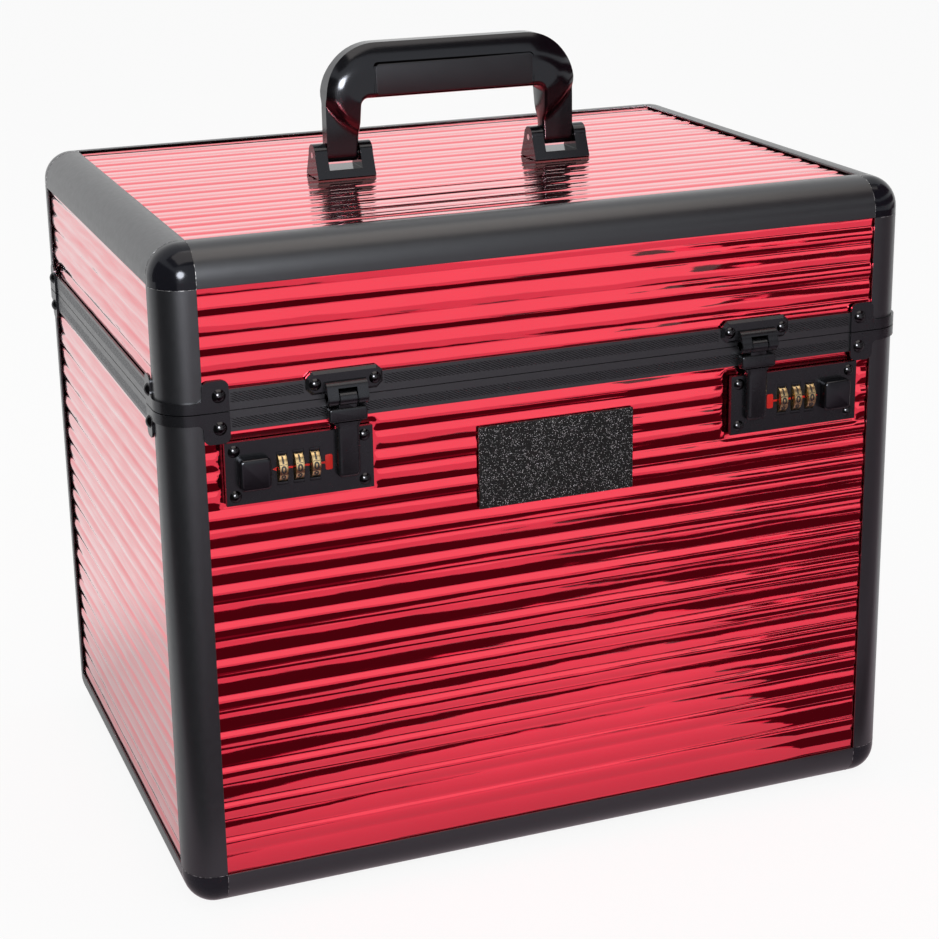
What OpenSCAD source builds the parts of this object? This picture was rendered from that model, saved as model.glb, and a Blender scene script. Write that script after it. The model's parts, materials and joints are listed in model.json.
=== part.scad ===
// Horse grooming box: a framed case with ribbed panels, a hinged lid, two
// combination locks with hasps, a folding handle and a lift-out tray.
// Millimetres. Origin at the bottom centre of the case, front towards -Y, +Z up.

/* [Case] */
// Outside width of the case, left to right
case_w = 400; // [390:1:440]
// Outside depth of the case, front to back
case_d = 290; // [260:1:330]
// Height of the lower part, from the floor to the parting line
body_h = 262.5; // [250:0.5:300]
// Height of the lid, from the parting line to the top
lid_h = 79.5; // [74:0.5:110]
// Gap between lid and lower part along the parting line
parting_gap = 0.4; // [0.3:0.1:0.8]

/* [Edge frame] */
// Width of the edge profile on each face
frame_leg = 19.5; // [19:0.5:22]
// Radius of the rounded edges and of the ball corners
frame_r = 16; // [14:0.5:16.5]
// Thickness of the outer lip that holds a panel
frame_lip = 1; // [0.8:0.1:1.4]
// Thickness of the inner lip that holds a panel
frame_back = 1.4; // [1:0.1:2]
// How far a panel reaches into its slot
panel_bite = 6.2; // [4.5:0.1:6.5]

/* [Panels] */
// Thickness of a panel at its highest ribs
panel_t = 5; // [4.5:0.1:6]
// Pitch of one proud rib and one low rib together
rib_pair = 19.25; // [16:0.25:22]
// Width of a proud rib
rib_proud_w = 8.9; // [7:0.1:9.5]
// Depth of a low rib's crest below a proud rib's crest
rib_low = 0.35; // [0.2:0.05:0.5]
// Depth of the valleys between the ribs
rib_valley = 0.7; // [0.6:0.05:1.2]
// Thickness of the foam lining
lining_t = 3; // [2:0.5:3.5]

/* [Rims] */
// Height of each rim along the parting line
rim_h = 10.5; // [10:0.5:12]
// Height of the sealing tongue on the lower rim
tongue_h = 2; // [1.5:0.1:2.3]

/* [Corner brackets] */
// Sheet thickness of the corner brackets
bracket_t = 1.2; // [0.8:0.1:1.6]
// Height of the band round the corner
bracket_band = 5.6; // [4:0.1:7]
// Height of the riveted ears
bracket_ear_h = 15.6; // [13.5:0.1:18]
// Reach of a bracket along the front and the rear
bracket_front = 32; // [31:0.5:36]
// Reach of a bracket along the sides
bracket_side = 29; // [28.5:0.5:34]

/* [Locks] */
// Distance of each lock's centre from the side of the case
lock_edge = 65.3; // [64:0.1:70]
// Distance of each lock's centre below the parting line
lock_drop = 31.5; // [30:0.1:36]
// Width of a lock plate
lock_w = 74; // [73:0.5:78]
// Height of a lock plate
lock_h = 31.6; // [30.5:0.1:36]
// Thickness of a lock plate
lock_t = 2.5; // [2:0.1:2.8]
// Radius of the number wheels
wheel_r = 8; // [7.4:0.1:8.3]
// Width of a number wheel
wheel_w = 4.4; // [4:0.1:5]
// Height of the button above its plate
button_proud = 5.4; // [4:0.1:7]
// Travel of the button
button_throw = 4; // [3:0.1:4]

/* [Hasps] */
// Radius of a hasp's barrel
hasp_barrel_r = 3.5; // [3.2:0.1:3.8]
// Thickness of a hasp's arm
hasp_t = 4; // [3:0.1:4.6]
// Width of a hasp's arm
hasp_arm_w = 11.5; // [9:0.1:12]
// Length of a hasp from its barrel's axis to its lower end
hasp_len = 40; // [36:0.5:44]

/* [Hinges] */
// Distance of each hinge's middle from the side of the case
hinge_edge = 90; // [75:1:120]
// Width of a hinge
hinge_w = 50; // [46:1:60]
// Radius of the hinge barrel
hinge_r = 3; // [2.7:0.1:3.2]

/* [Handle] */
// Overall width of the handle
handle_w = 143; // [138:1:156]
// Height of the handle's top above the lid's outer face
handle_h = 69; // [62:0.5:80]
// Depth of the grip
grip_d = 20; // [16:0.5:20]
// Height of the grip
grip_h = 29; // [25:0.5:31]
// Width of each leg at its pivot
leg_w = 17.4; // [15:0.1:19]
// Radius of the handle's outer corners
handle_r = 28; // [22:0.5:32]
// Width of each ear of a handle base
base_ear_w = 7; // [5.5:0.1:9]

/* [Name plate] */
// Width of the bare name plate
plate_w = 84.5; // [70:0.5:100]
// Height of the bare name plate
plate_h = 43; // [30:0.5:46]

/* [Tray] */
// Height of the lift-out tray
tray_h = 52; // [40:1:60]
// Wall and floor thickness of the tray
tray_wall = 2.5; // [2:0.1:4]

/* [Hidden] */
$fn = 64;
eps = 1;
case_h = body_h + lid_h;
half_w = case_w / 2;
half_d = case_d / 2;

// Clearances
panel_fit = 0.1;
panel_end_gap = 0.3;
touch_gap = 0.05;
run_fit = 0.05;
pin_fit = 0.02;
rivet_fit = 0.1;
side_gap = 0.3;

// Panels and their slots, measured from the outer faces
slot_w = panel_t + 2 * panel_fit;
slot_start = frame_leg - panel_bite - panel_end_gap;
panel_out = frame_lip + panel_fit;
panel_in = panel_out + panel_t;
wall_t = frame_lip + slot_w + frame_back;
lining_in = panel_in + lining_t;
panel_edge = slot_start + panel_end_gap;
top_crest = case_h - panel_out;
panel_x = case_w - 2 * panel_edge;
panel_y = case_d - 2 * panel_edge;

// Rims
rim_land = 4;
body_panel_top = body_h - rim_land - panel_end_gap;
lid_panel_low = body_h + rim_land + panel_end_gap;
lid_panel_top = case_h - panel_edge;
rim_overlap = 0.4;
rim_depth = wall_t + rim_overlap;
rim_x = case_w - 2 * frame_leg;
rim_y = case_d - 2 * frame_leg;
tongue_w = 1.5;
tongue_gap = 0.45;
tongue_in = frame_lip + slot_w / 2 - tongue_w / 2;
tongue_trim = 1;

// Rib positions: the middle of one proud rib on each kind of panel
rib_steps = 6;
front_rib_drop = 73.5;
side_rib_drop = 48.4;
lid_front_rib_up = 50.9;
lid_side_rib_up = 41;
rib_body_front = body_h - front_rib_drop;
rib_body_side = body_h - side_rib_drop;
rib_lid_front = body_h + lid_front_rib_up;
rib_lid_side = body_h + lid_side_rib_up;
rib_top = -9.5;

// Rivets
rivet_shank_r = 1.5;
rivet_head_r = 3.4;
small_head_r = 3;
rivet_tail = 0.8;
rivet_inset = 5;
bracket_rivet_h = 8;
ear_lap = 0.5;
ear_x = frame_leg - ear_lap;
ear_round = 3.5;

// Locks, in a frame with its origin at the lock's centre and +X towards the button
lock_x = half_w - lock_edge;
lock_z = body_h - lock_drop;
lock_back = frame_lip;
lock_front = lock_back - lock_t;
lock_rivet_inset = 4.5;
lock_rivet_x = lock_w / 2 - lock_rivet_inset;
lock_rivet_z = lock_h / 2 - lock_rivet_inset;
wheel_pitch = 8.2;
wheel_mid = 0.9;
wheel_proud = 3.5;
wheel_in = lock_front + wheel_r - wheel_proud;
wheel_bore_r = 1.5;
wheel_gap = 0.4;
window_w = wheel_w + 2 * wheel_gap;
window_h = 2 * wheel_r + wheel_gap;
lock_box_wall = 1.2;
lock_box_x0 = -16.2;
lock_box_x1 = 30.5;
lock_box_h = 21;
lock_box_in = wheel_in + wheel_r + wheel_gap + lock_box_wall;
axle_web_x = 13.2;
button_x = 22.3;
button_w = 15;
button_h = 15.8;
button_gap = 0.15;
stem_w = 5;
stem_h = 8;
stem_lip = 1.5;
index_t = 0.25;
index_line_h = 1;
index_box_w = 3.7;
index_box_h = 7.7;
index_tip = 14;

// Hasps, measured from the parting line and from the front face outwards
hasp_offset = 23.7;
hasp_x = lock_x - hasp_offset;
hasp_axis_up = 0.5;
hasp_gap = 0.7;
hasp_axis_out = hasp_barrel_r + hasp_gap;
hasp_pin_r = 1.6;
hasp_back = -lock_front + side_gap;
hasp_knuckle_w = 20.5;
hasp_mid_w = 9.3;
hasp_head_w = 19.5;
hasp_head_top = -4.1;
hasp_head_low = -11.9;
hasp_bracket_w = 38.6;
hasp_bracket_t = 2.3;
hasp_bracket_z0 = 3.8;
hasp_bracket_z1 = 15.4;
hasp_rivet_x = 15;
hasp_rivet_up = 8.2;

// Hinges, measured from the parting line and from the rear face outwards
hinge_x = half_w - hinge_edge;
hinge_gap = 0.5;
hinge_out = hinge_r + hinge_gap;
hinge_pin_r = 1.5;
hinge_leaf_t = 1.4;
hinge_leaf_h = 10.2;
hinge_mid_w = 21.4;
hinge_clear = hinge_r + hinge_gap;
hinge_rivet_inset = 7;
hinge_rivet_x = hinge_w / 2 - hinge_rivet_inset;
hinge_rivet_up = 6.9;
stop_len = 6.5;
stop_t = 1.6;

// Handle and its bases
leg_inset = 8.75;
leg_gap = 0.55;
base_x = handle_w / 2 - leg_inset;
base_w = leg_w + 2 * (leg_gap + base_ear_w);
base_floor = 4.2;
base_low_d = 22;
pivot_up = 11.5;
pivot_z = top_crest + pivot_up;
ear_top_r = 6;
leg_end_r = 4.5;
leg_straight = 9.5;
leg_flare = 13.6;
leg_flare_d = 16.6;
handle_pin_r = 1.6;
handle_top = case_h + handle_h;
gap_top = handle_top - grip_h;
grip_shoulder = 18.8;
gap_half = handle_w / 2 - grip_shoulder;
grip_round = 7;
pad_margin = 1.5;
pad_end = 6.7;
pad_w = 2 * (gap_half - pad_end);
pad_h = 16.5;
pad_t = 1.4;
pad_deep = 1;
pad_round = 4;
pad_mid = gap_top + pad_margin + pad_h / 2;
screw_r = 2;
screw_head_r = 3.6;
screw_head_h = 2.2;
screw_y = 5.5;
screw_bite = 3;

// Name plate
plate_drop = 46.5;
plate_t = 1.5;

// Foam lining, between the inner lips of the frame
lining_gap = 0.5;
lining_edge = frame_leg + lining_gap;
lining_x = case_w - 2 * lining_edge;
lining_y = case_d - 2 * lining_edge;

// Tray
tray_gap = 1.5;
tray_top = body_h - rim_h;
tray_low = tray_top - tray_h;
tray_half_w = half_w - lining_in - tray_gap;
tray_lock_gap = 3;
tray_front = -half_d + lock_box_in + tray_lock_gap;
tray_rear = half_d - lining_in - tray_gap;
tray_split = 0.4;
ledge_w = 8;
ledge_h = 8;
ledge_end = 35;
ledge_len = case_d - 2 * ledge_end;
ledge_gap = 0.2;

black_metal = [0.12, 0.12, 0.13];
black_plastic = [0.06, 0.06, 0.07];
red_foil = [0.80, 0.10, 0.16];
brass = [0.78, 0.62, 0.34];
steel = [0.62, 0.63, 0.65];
foam = [0.16, 0.16, 0.17];

// Repeats a child on both sides of the middle plane across X, or across Y
module both_x() {
    for (flip = [0, 1]) mirror([flip, 0, 0]) children();
}

module both_y() {
    for (flip = [0, 1]) mirror([0, flip, 0]) children();
}

module right_side() {
    children();
}

module left_side() {
    mirror([1, 0, 0]) children();
}

// Stands a flat section up so that its x is depth from the front and its y is height
module along_front(length) {
    translate([-length / 2, -half_d, 0]) rotate([90, 0, 90]) linear_extrude(length) children();
}

// The same for the left side, where x is depth from the left face
module along_left(length) {
    translate([-half_w, length / 2, 0]) rotate([90, 0, 0]) linear_extrude(length) children();
}

// Lays the same section on all four sides
module around(length_x, length_y) {
    both_y() along_front(length_x) children();
    both_x() along_left(length_y) children();
}

// A rivet through a wall: its dome sits at height seat, its shank ends at -depth
module rivet(head_r, seat, depth) {
    dome_h = head_r * 0.55;
    dome_r = (head_r * head_r + dome_h * dome_h) / (2 * dome_h);
    translate([0, 0, -depth]) cylinder(r = rivet_shank_r, h = depth + seat);
    translate([0, 0, seat]) rotate_extrude() intersection() {
        square([head_r, dome_h]);
        translate([0, dome_h - dome_r]) circle(dome_r);
    }
}

module rivet_hole() {
    translate([0, 0, -rim_depth - eps]) cylinder(r = rivet_shank_r + rivet_fit, h = rim_depth + 10);
}

// Section of a frame edge: a rounded corner with a slot for a panel on each leg
module edge_section() {
    difference() {
        square(frame_leg);
        difference() {
            square(frame_r);
            translate([frame_r, frame_r]) circle(frame_r);
        }
        translate([wall_t, wall_t]) square(frame_leg);
        translate([slot_start, frame_lip]) square([frame_leg, slot_w]);
        translate([frame_lip, slot_start]) square([slot_w, frame_leg]);
    }
}

module posts(z0, z1) {
    both_x() both_y() translate([-half_w, -half_d, z0]) linear_extrude(z1 - z0) edge_section();
}

module lower_rails() {
    around(rim_x, rim_y) edge_section();
}

// One ball corner, drawn at the lower left front corner
module corner_cap() {
    flat = frame_leg - frame_r;
    difference() {
        intersection() {
            cube(frame_leg);
            union() {
                translate([frame_r, frame_r, frame_r]) {
                    sphere(frame_r);
                    cylinder(r = frame_r, h = flat);
                    rotate([0, 90, 0]) cylinder(r = frame_r, h = flat);
                    rotate([-90, 0, 0]) cylinder(r = frame_r, h = flat);
                }
                translate([frame_r, frame_r, 0]) cube([flat, flat, frame_leg]);
                translate([frame_r, 0, frame_r]) cube([flat, frame_leg, flat]);
                translate([0, frame_r, frame_r]) cube([frame_leg, flat, flat]);
            }
        }
        translate([wall_t, wall_t, wall_t]) cube(frame_leg);
        translate([slot_start, frame_lip, slot_start]) cube([frame_leg, slot_w, frame_leg]);
        translate([frame_lip, slot_start, slot_start]) cube([slot_w, frame_leg, frame_leg]);
        translate([slot_start, slot_start, frame_lip]) cube([frame_leg, frame_leg, slot_w]);
    }
}

module lower_caps() {
    both_x() both_y() translate([-half_w, -half_d, 0]) corner_cap();
}

// Turns the lower frame over to make the upper one
module to_top() {
    translate([0, 0, case_h]) mirror([0, 0, 1]) children();
}

// Depth of the ribbed face at a distance from the middle of a proud rib
function rib_depth(u) =
    let (m = abs(u - rib_pair * round(u / rib_pair)), low_w = rib_pair - rib_proud_w)
    m <= rib_proud_w / 2
        ? rib_valley * pow(2 * m / rib_proud_w, 2)
        : rib_low + (rib_valley - rib_low) * pow((rib_pair - 2 * m) / low_w, 2);

// Places along a ribbed face where its outline turns
function rib_places(u0, u1) = [
    u0,
    for (k = [floor(u0 / rib_pair) : ceil(u1 / rib_pair)], i = [0 : 2 * rib_steps - 1])
        let (low_w = rib_pair - rib_proud_w)
        let (u = i < rib_steps
            ? k * rib_pair + rib_proud_w * (i / rib_steps - 0.5)
            : k * rib_pair + rib_proud_w / 2 + low_w * (i / rib_steps - 1))
        if (u > u0 + 0.2 && u < u1 - 0.2) u,
    u1
];

// Section of a ribbed panel from lo to hi, with a proud rib at mid; x is depth
module rib_section(lo, hi, mid) {
    polygon(concat(
        [for (u = rib_places(lo - mid, hi - mid)) [panel_out + rib_depth(u), u + mid]],
        [[panel_in, hi], [panel_in, lo]]
    ));
}

module body_board_front() {
    along_front(panel_x) rib_section(panel_edge, body_panel_top, rib_body_front);
}

module body_board_left() {
    along_left(panel_y) rib_section(panel_edge, body_panel_top, rib_body_side);
}

module lid_board_front() {
    along_front(panel_x) rib_section(lid_panel_low, lid_panel_top, rib_lid_front);
}

module lid_board_left() {
    along_left(panel_y) rib_section(lid_panel_low, lid_panel_top, rib_lid_side);
}

// Rivet places. Each child is drawn with +Z pointing out of the wall and zero at its face
module at_front(x, z) {
    translate([x, -half_d, z]) rotate([90, 0, 0]) children();
}

module at_left(y, z) {
    translate([-half_w, y, z]) rotate([0, -90, 0]) children();
}

module at_bracket_rivets_front(side) {
    both_x() both_y()
        at_front(half_w - bracket_front + rivet_inset, body_h + side * bracket_rivet_h) children();
}

module at_bracket_rivets_left(side) {
    both_x() both_y()
        at_left(half_d - bracket_side + rivet_inset, body_h + side * bracket_rivet_h) children();
}

module at_hinge_rivets(side) {
    both_x() for (dx = [-1, 1])
        mirror([0, 1, 0]) at_front(hinge_x + dx * hinge_rivet_x, body_h + side * hinge_rivet_up)
            children();
}

module at_hasp_rivets() {
    both_x() for (dx = [-1, 1])
        at_front(hasp_x + dx * hasp_rivet_x, body_h + hasp_rivet_up) children();
}

module at_locks() {
    both_x() at_front(lock_x, lock_z) children();
}

module at_lock_rivets() {
    at_locks() for (dx = [-1, 1], dz = [-1, 1])
        translate([dx * lock_rivet_x, dz * lock_rivet_z, 0]) children();
}

// The hole in the front wall behind each lock plate
module lock_windows(gap) {
    at_locks() translate([lock_box_x0 - gap, -lock_box_h / 2 - gap, -lock_box_in - eps])
        cube([lock_box_x1 - lock_box_x0 + 2 * gap, lock_box_h + 2 * gap, lock_box_in + 3 * eps]);
}

module body_front_panel() {
    color(red_foil) difference() {
        body_board_front();
        lock_windows(2 * panel_fit);
        at_lock_rivets() rivet_hole();
        at_bracket_rivets_front(-1) rivet_hole();
    }
}

module body_rear_panel() {
    color(red_foil) difference() {
        mirror([0, 1, 0]) body_board_front();
        at_hinge_rivets(-1) rivet_hole();
        at_bracket_rivets_front(-1) rivet_hole();
    }
}

module body_left_panel() {
    color(red_foil) difference() {
        body_board_left();
        at_bracket_rivets_left(-1) rivet_hole();
    }
}

module body_right_panel() {
    color(red_foil) mirror([1, 0, 0]) difference() {
        body_board_left();
        at_bracket_rivets_left(-1) rivet_hole();
    }
}

module floor_panel() {
    color(black_plastic)
        translate([-panel_x / 2, -panel_y / 2, panel_out]) cube([panel_x, panel_y, panel_t]);
}

module body_posts() {
    color(black_metal) posts(frame_leg, body_h - parting_gap / 2);
}

module bottom_rails() {
    color(black_metal) lower_rails();
}

module bottom_corner_caps() {
    color(black_plastic) lower_caps();
}

// Section of a rim: x is depth, y is the distance from the parting line
module rim_section() {
    difference() {
        translate([0, parting_gap / 2]) square([rim_depth, rim_h - parting_gap / 2]);
        translate([frame_lip, rim_land]) square([slot_w, rim_h]);
    }
}

module body_rims() {
    color(black_metal) difference() {
        translate([0, 0, body_h]) {
            around(rim_x, rim_y) mirror([0, 1]) rim_section();
            around(rim_x - 2 * tongue_trim, rim_y - 2 * tongue_trim)
                translate([tongue_in, -parting_gap]) square([tongue_w, parting_gap + tongue_h]);
        }
        at_bracket_rivets_front(-1) rivet_hole();
        at_bracket_rivets_left(-1) rivet_hole();
        at_hinge_rivets(-1) rivet_hole();
    }
}

module lid_rims() {
    groove_w = tongue_w + 2 * tongue_gap;
    color(black_metal) difference() {
        translate([0, 0, body_h]) around(rim_x, rim_y) difference() {
            rim_section();
            translate([tongue_in - tongue_gap, 0]) square([groove_w, tongue_h + tongue_gap]);
        }
        at_bracket_rivets_front(1) rivet_hole();
        at_bracket_rivets_left(1) rivet_hole();
        at_hinge_rivets(1) rivet_hole();
        at_hasp_rivets() rivet_hole();
    }
}

// Outline of one leg of a corner bracket: x from the corner, y from the parting line
module bracket_leg(reach) {
    ear_w = reach - ear_x;
    fillet = ear_x - frame_r;
    low = parting_gap / 2 + touch_gap;
    difference() {
        union() {
            translate([frame_r, low]) square([reach - frame_r, bracket_band - low]);
            translate([ear_x, low]) square([ear_w, bracket_ear_h - ear_round - low]);
            translate([ear_x + ear_round, low])
                square([ear_w - 2 * ear_round, bracket_ear_h - low]);
            for (x = [ear_x + ear_round, reach - ear_round])
                translate([x, bracket_ear_h - ear_round]) circle(ear_round);
            translate([frame_r, bracket_band - eps]) square([fillet + eps, fillet + eps]);
        }
        translate([frame_r, bracket_band + fillet]) circle(fillet);
        translate([reach - rivet_inset, bracket_rivet_h]) circle(rivet_shank_r + rivet_fit);
    }
}

// A bracket at the left front corner, from the parting line upwards
module corner_bracket() {
    low = parting_gap / 2 + touch_gap;
    rotate([90, 0, 0]) linear_extrude(bracket_t) bracket_leg(bracket_front);
    translate([-bracket_t, 0, 0]) rotate([90, 0, 90])
        linear_extrude(bracket_t) bracket_leg(bracket_side);
    translate([frame_r, frame_r, low]) linear_extrude(bracket_band - low) difference() {
        intersection() {
            circle(frame_r + bracket_t);
            translate([-2 * frame_r, -2 * frame_r]) square(2 * frame_r);
        }
        circle(frame_r + touch_gap);
    }
}

module body_brackets() {
    color(black_metal) translate([0, 0, body_h]) mirror([0, 0, 1])
        both_x() both_y() translate([-half_w, -half_d, 0]) corner_bracket();
}

module lid_brackets() {
    color(black_metal) translate([0, 0, body_h])
        both_x() both_y() translate([-half_w, -half_d, 0]) corner_bracket();
}

module bracket_rivets(side) {
    at_bracket_rivets_front(side) rivet(rivet_head_r, bracket_t, rim_depth + rivet_tail);
    at_bracket_rivets_left(side) rivet(rivet_head_r, bracket_t, rim_depth + rivet_tail);
}

module body_bracket_rivets() {
    color(black_metal) bracket_rivets(-1);
}

module lid_bracket_rivets() {
    color(black_metal) bracket_rivets(1);
}

// Lock parts, drawn flat: x along the lock, y up, z out of the wall
module wheel_places() {
    for (i = [-1 : 1]) translate([wheel_mid + i * wheel_pitch, 0]) children();
}

module lock_plate() {
    translate([0, 0, -lock_back]) linear_extrude(lock_t) difference() {
        translate([-lock_w / 2, -lock_h / 2]) square([lock_w, lock_h]);
        wheel_places() translate([-window_w / 2, -window_h / 2]) square([window_w, window_h]);
        translate([button_x - stem_w / 2 - side_gap, -stem_h / 2 - side_gap])
            square([stem_w + button_throw + 2 * side_gap, stem_h + 2 * side_gap]);
        for (dx = [-1, 1], dz = [-1, 1])
            translate([dx * lock_rivet_x, dz * lock_rivet_z]) circle(rivet_shank_r + rivet_fit);
    }
}

module lock_plate_right() {
    color(black_metal) right_side() at_front(lock_x, lock_z) lock_plate();
}

module lock_plate_left() {
    color(black_metal) left_side() at_front(lock_x, lock_z) lock_plate();
}

// The cover behind a lock plate, with walls that carry the axle
module lock_box() {
    inner_h = lock_box_h - 2 * lock_box_wall;
    inner_x0 = lock_box_x0 + lock_box_wall;
    difference() {
        translate([lock_box_x0, -lock_box_h / 2, -lock_box_in])
            cube([lock_box_x1 - lock_box_x0, lock_box_h, lock_box_in - lock_back]);
        translate([inner_x0, -inner_h / 2, -lock_box_in + lock_box_wall])
            cube([axle_web_x - inner_x0, inner_h, lock_box_in]);
        translate([axle_web_x + lock_box_wall, -inner_h / 2, -lock_box_in + lock_box_wall])
            cube([lock_box_x1 - axle_web_x - 2 * lock_box_wall, inner_h, lock_box_in]);
        lock_axle(pin_fit);
    }
}

module lock_axle(gap) {
    reach = lock_box_wall - 0.2 - gap;
    x0 = lock_box_x0 + lock_box_wall - reach - gap;
    x1 = axle_web_x + reach + gap;
    translate([x0, 0, -wheel_in]) rotate([0, 90, 0])
        cylinder(r = wheel_bore_r + gap, h = x1 - x0);
}

module lock_boxes() {
    color(black_plastic) at_locks() lock_box();
}

module lock_axles() {
    color(steel) at_locks() lock_axle(0);
}

// Red index marks: a box by the hasp, a line past the wheels and an arrow tip
module lock_index() {
    line_gap = 0.15;
    box_x0 = lock_box_x0;
    first = wheel_mid - wheel_pitch - window_w / 2 - line_gap;
    last = wheel_mid + wheel_pitch + window_w / 2 + line_gap;
    color(red_foil) at_locks() translate([0, 0, -lock_front]) linear_extrude(index_t) {
        translate([box_x0, -index_box_h / 2]) square([index_box_w, index_box_h]);
        translate([box_x0, -index_line_h / 2]) square([first - box_x0, index_line_h]);
        for (i = [-1, 0])
            translate([wheel_mid + i * wheel_pitch + window_w / 2 + line_gap, -index_line_h / 2])
                square([wheel_pitch - window_w - 2 * line_gap, index_line_h]);
        polygon([[last, -index_line_h], [index_tip, 0], [last, index_line_h]]);
    }
}

module lock_rivets() {
    color(black_metal) at_lock_rivets()
        rivet(small_head_r, -lock_front, panel_in + rivet_tail);
}

module wheel(i) {
    translate([wheel_mid + i * wheel_pitch - wheel_w / 2, 0, -wheel_in]) rotate([0, 90, 0])
        difference() {
            cylinder(r = wheel_r, h = wheel_w);
            translate([0, 0, -eps])
                cylinder(r = wheel_bore_r + run_fit, h = wheel_w + 2 * eps);
        }
}

module right_wheel(i) {
    color(brass) right_side() at_front(lock_x, lock_z) wheel(i);
}

module left_wheel(i) {
    color(brass) left_side() at_front(lock_x, lock_z) wheel(i);
}

module button() {
    round_r = 2;
    foot = -lock_front + button_gap;
    lip_h = stem_h + 2 * stem_lip;
    translate([button_x, 0, foot]) linear_extrude(button_proud) union() {
        translate([-button_w / 2 + round_r, -button_h / 2])
            square([button_w - 2 * round_r, button_h]);
        translate([-button_w / 2, -button_h / 2 + round_r])
            square([button_w, button_h - 2 * round_r]);
        for (dx = [-1, 1], dz = [-1, 1])
            translate([dx * (button_w / 2 - round_r), dz * (button_h / 2 - round_r)])
                circle(round_r);
    }
    translate([button_x - stem_w / 2, -stem_h / 2, -lock_back - stem_lip - button_gap])
        cube([stem_w, stem_h, foot + lock_back + stem_lip + button_gap + 0.5]);
    translate([button_x - stem_w / 2, -lip_h / 2, -lock_back - stem_lip - button_gap])
        cube([stem_w, lip_h, stem_lip]);
}

module right_button() {
    color(black_plastic) right_side() at_front(lock_x, lock_z) button();
}

module left_button() {
    color(black_plastic) left_side() at_front(lock_x, lock_z) button();
}

module name_plate() {
    color(black_plastic) at_front(0, body_h - plate_drop)
        translate([-plate_w / 2, -plate_h / 2, -frame_lip]) cube([plate_w, plate_h, plate_t]);
}

// Foam lining: sheets glued to the panels
module lining_sheet(lo, hi) {
    translate([panel_in, lo]) square([lining_t, hi - lo]);
}

module body_lining() {
    hi = body_h - rim_h - lining_gap;
    color(foam) difference() {
        around(lining_x, lining_y) lining_sheet(lining_edge, hi);
        lock_windows(lining_gap);
        at_lock_rivets() rivet_hole();
    }
}

module floor_mat() {
    color(foam) translate([-lining_x / 2, -lining_y / 2, panel_in])
        cube([lining_x, lining_y, lining_t]);
}

module lid_lining() {
    lo = body_h + rim_h + lining_gap;
    hi = case_h - lining_edge;
    color(foam) {
        around(lining_x, lining_y) lining_sheet(lo, hi);
        difference() {
            translate([-lining_x / 2, -lining_y / 2, case_h - lining_in])
                cube([lining_x, lining_y, lining_t]);
            at_handle_screws() translate([0, 0, -panel_in - lining_t - eps])
                cylinder(r = screw_head_r + 1, h = lining_t + 2 * eps);
        }
    }
}

module tray_ledges() {
    color(black_plastic) both_x()
        translate([-half_w + lining_in, -ledge_len / 2, tray_low - ledge_gap - ledge_h])
            cube([ledge_w, ledge_len, ledge_h]);
}

// Hinges at the rear, drawn on the right and turned to the rear face
module at_hinges() {
    both_x() translate([hinge_x, half_d, body_h]) children();
}

module hinge_barrel(x0, x1, bore) {
    translate([x0, hinge_out, 0]) rotate([0, 90, 0]) difference() {
        cylinder(r = hinge_r, h = x1 - x0);
        translate([0, 0, -eps]) cylinder(r = bore, h = x1 - x0 + 2 * eps);
    }
}

// Cuts the pin's bore out of a leaf
module hinge_bore(bore) {
    translate([-hinge_w, hinge_out, 0]) rotate([0, 90, 0]) cylinder(r = bore, h = 2 * hinge_w);
}

module hinge_leaf_holes(side) {
    for (dx = [-1, 1])
        translate([dx * hinge_rivet_x, -eps, side * hinge_rivet_up]) rotate([-90, 0, 0])
            cylinder(r = rivet_shank_r + rivet_fit, h = 10);
}

module hinge_body_leaf() {
    knuckle_w = (hinge_w - hinge_mid_w) / 2 - side_gap;
    difference() {
        union() {
            translate([-hinge_w / 2, 0, -hinge_leaf_h])
                cube([hinge_w, hinge_leaf_t, hinge_leaf_h - hinge_clear]);
            both_x() {
                hinge_barrel(hinge_w / 2 - knuckle_w, hinge_w / 2, hinge_pin_r + pin_fit);
                translate([hinge_w / 2 - knuckle_w, 0, -hinge_clear - eps])
                    cube([knuckle_w, hinge_leaf_t, hinge_clear + eps - parting_gap]);
            }
        }
        hinge_bore(hinge_pin_r + pin_fit);
        hinge_leaf_holes(-1);
    }
}

module hinge_lid_leaf() {
    difference() {
        union() {
            translate([-hinge_w / 2, 0, hinge_clear])
                cube([hinge_w, hinge_leaf_t, hinge_leaf_h - hinge_clear]);
            hinge_barrel(-hinge_mid_w / 2, hinge_mid_w / 2, hinge_pin_r + run_fit);
            translate([-hinge_mid_w / 2, 0, parting_gap])
                cube([hinge_mid_w, hinge_leaf_t, hinge_clear + eps - parting_gap]);
            translate([-hinge_mid_w / 2, hinge_out, -stop_t / 2])
                cube([hinge_mid_w, stop_len, stop_t]);
        }
        hinge_bore(hinge_pin_r + run_fit);
        hinge_leaf_holes(1);
    }
}

module hinge_body_leaves() {
    color(black_metal) at_hinges() hinge_body_leaf();
}

module hinge_lid_leaves() {
    color(black_metal) at_hinges() hinge_lid_leaf();
}

module hinge_pins() {
    color(steel) at_hinges() translate([-hinge_w / 2, hinge_out, 0]) rotate([0, 90, 0])
        cylinder(r = hinge_pin_r, h = hinge_w);
}

module hinge_body_rivets() {
    color(steel) at_hinge_rivets(-1) rivet(small_head_r, hinge_leaf_t, rim_depth + rivet_tail);
}

module hinge_lid_rivets() {
    color(steel) at_hinge_rivets(1) rivet(small_head_r, hinge_leaf_t, rim_depth + rivet_tail);
}

module lid_front_panel() {
    color(red_foil) difference() {
        lid_board_front();
        at_hasp_rivets() rivet_hole();
        at_bracket_rivets_front(1) rivet_hole();
    }
}

module lid_rear_panel() {
    color(red_foil) difference() {
        mirror([0, 1, 0]) lid_board_front();
        at_hinge_rivets(1) rivet_hole();
        at_bracket_rivets_front(1) rivet_hole();
    }
}

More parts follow.
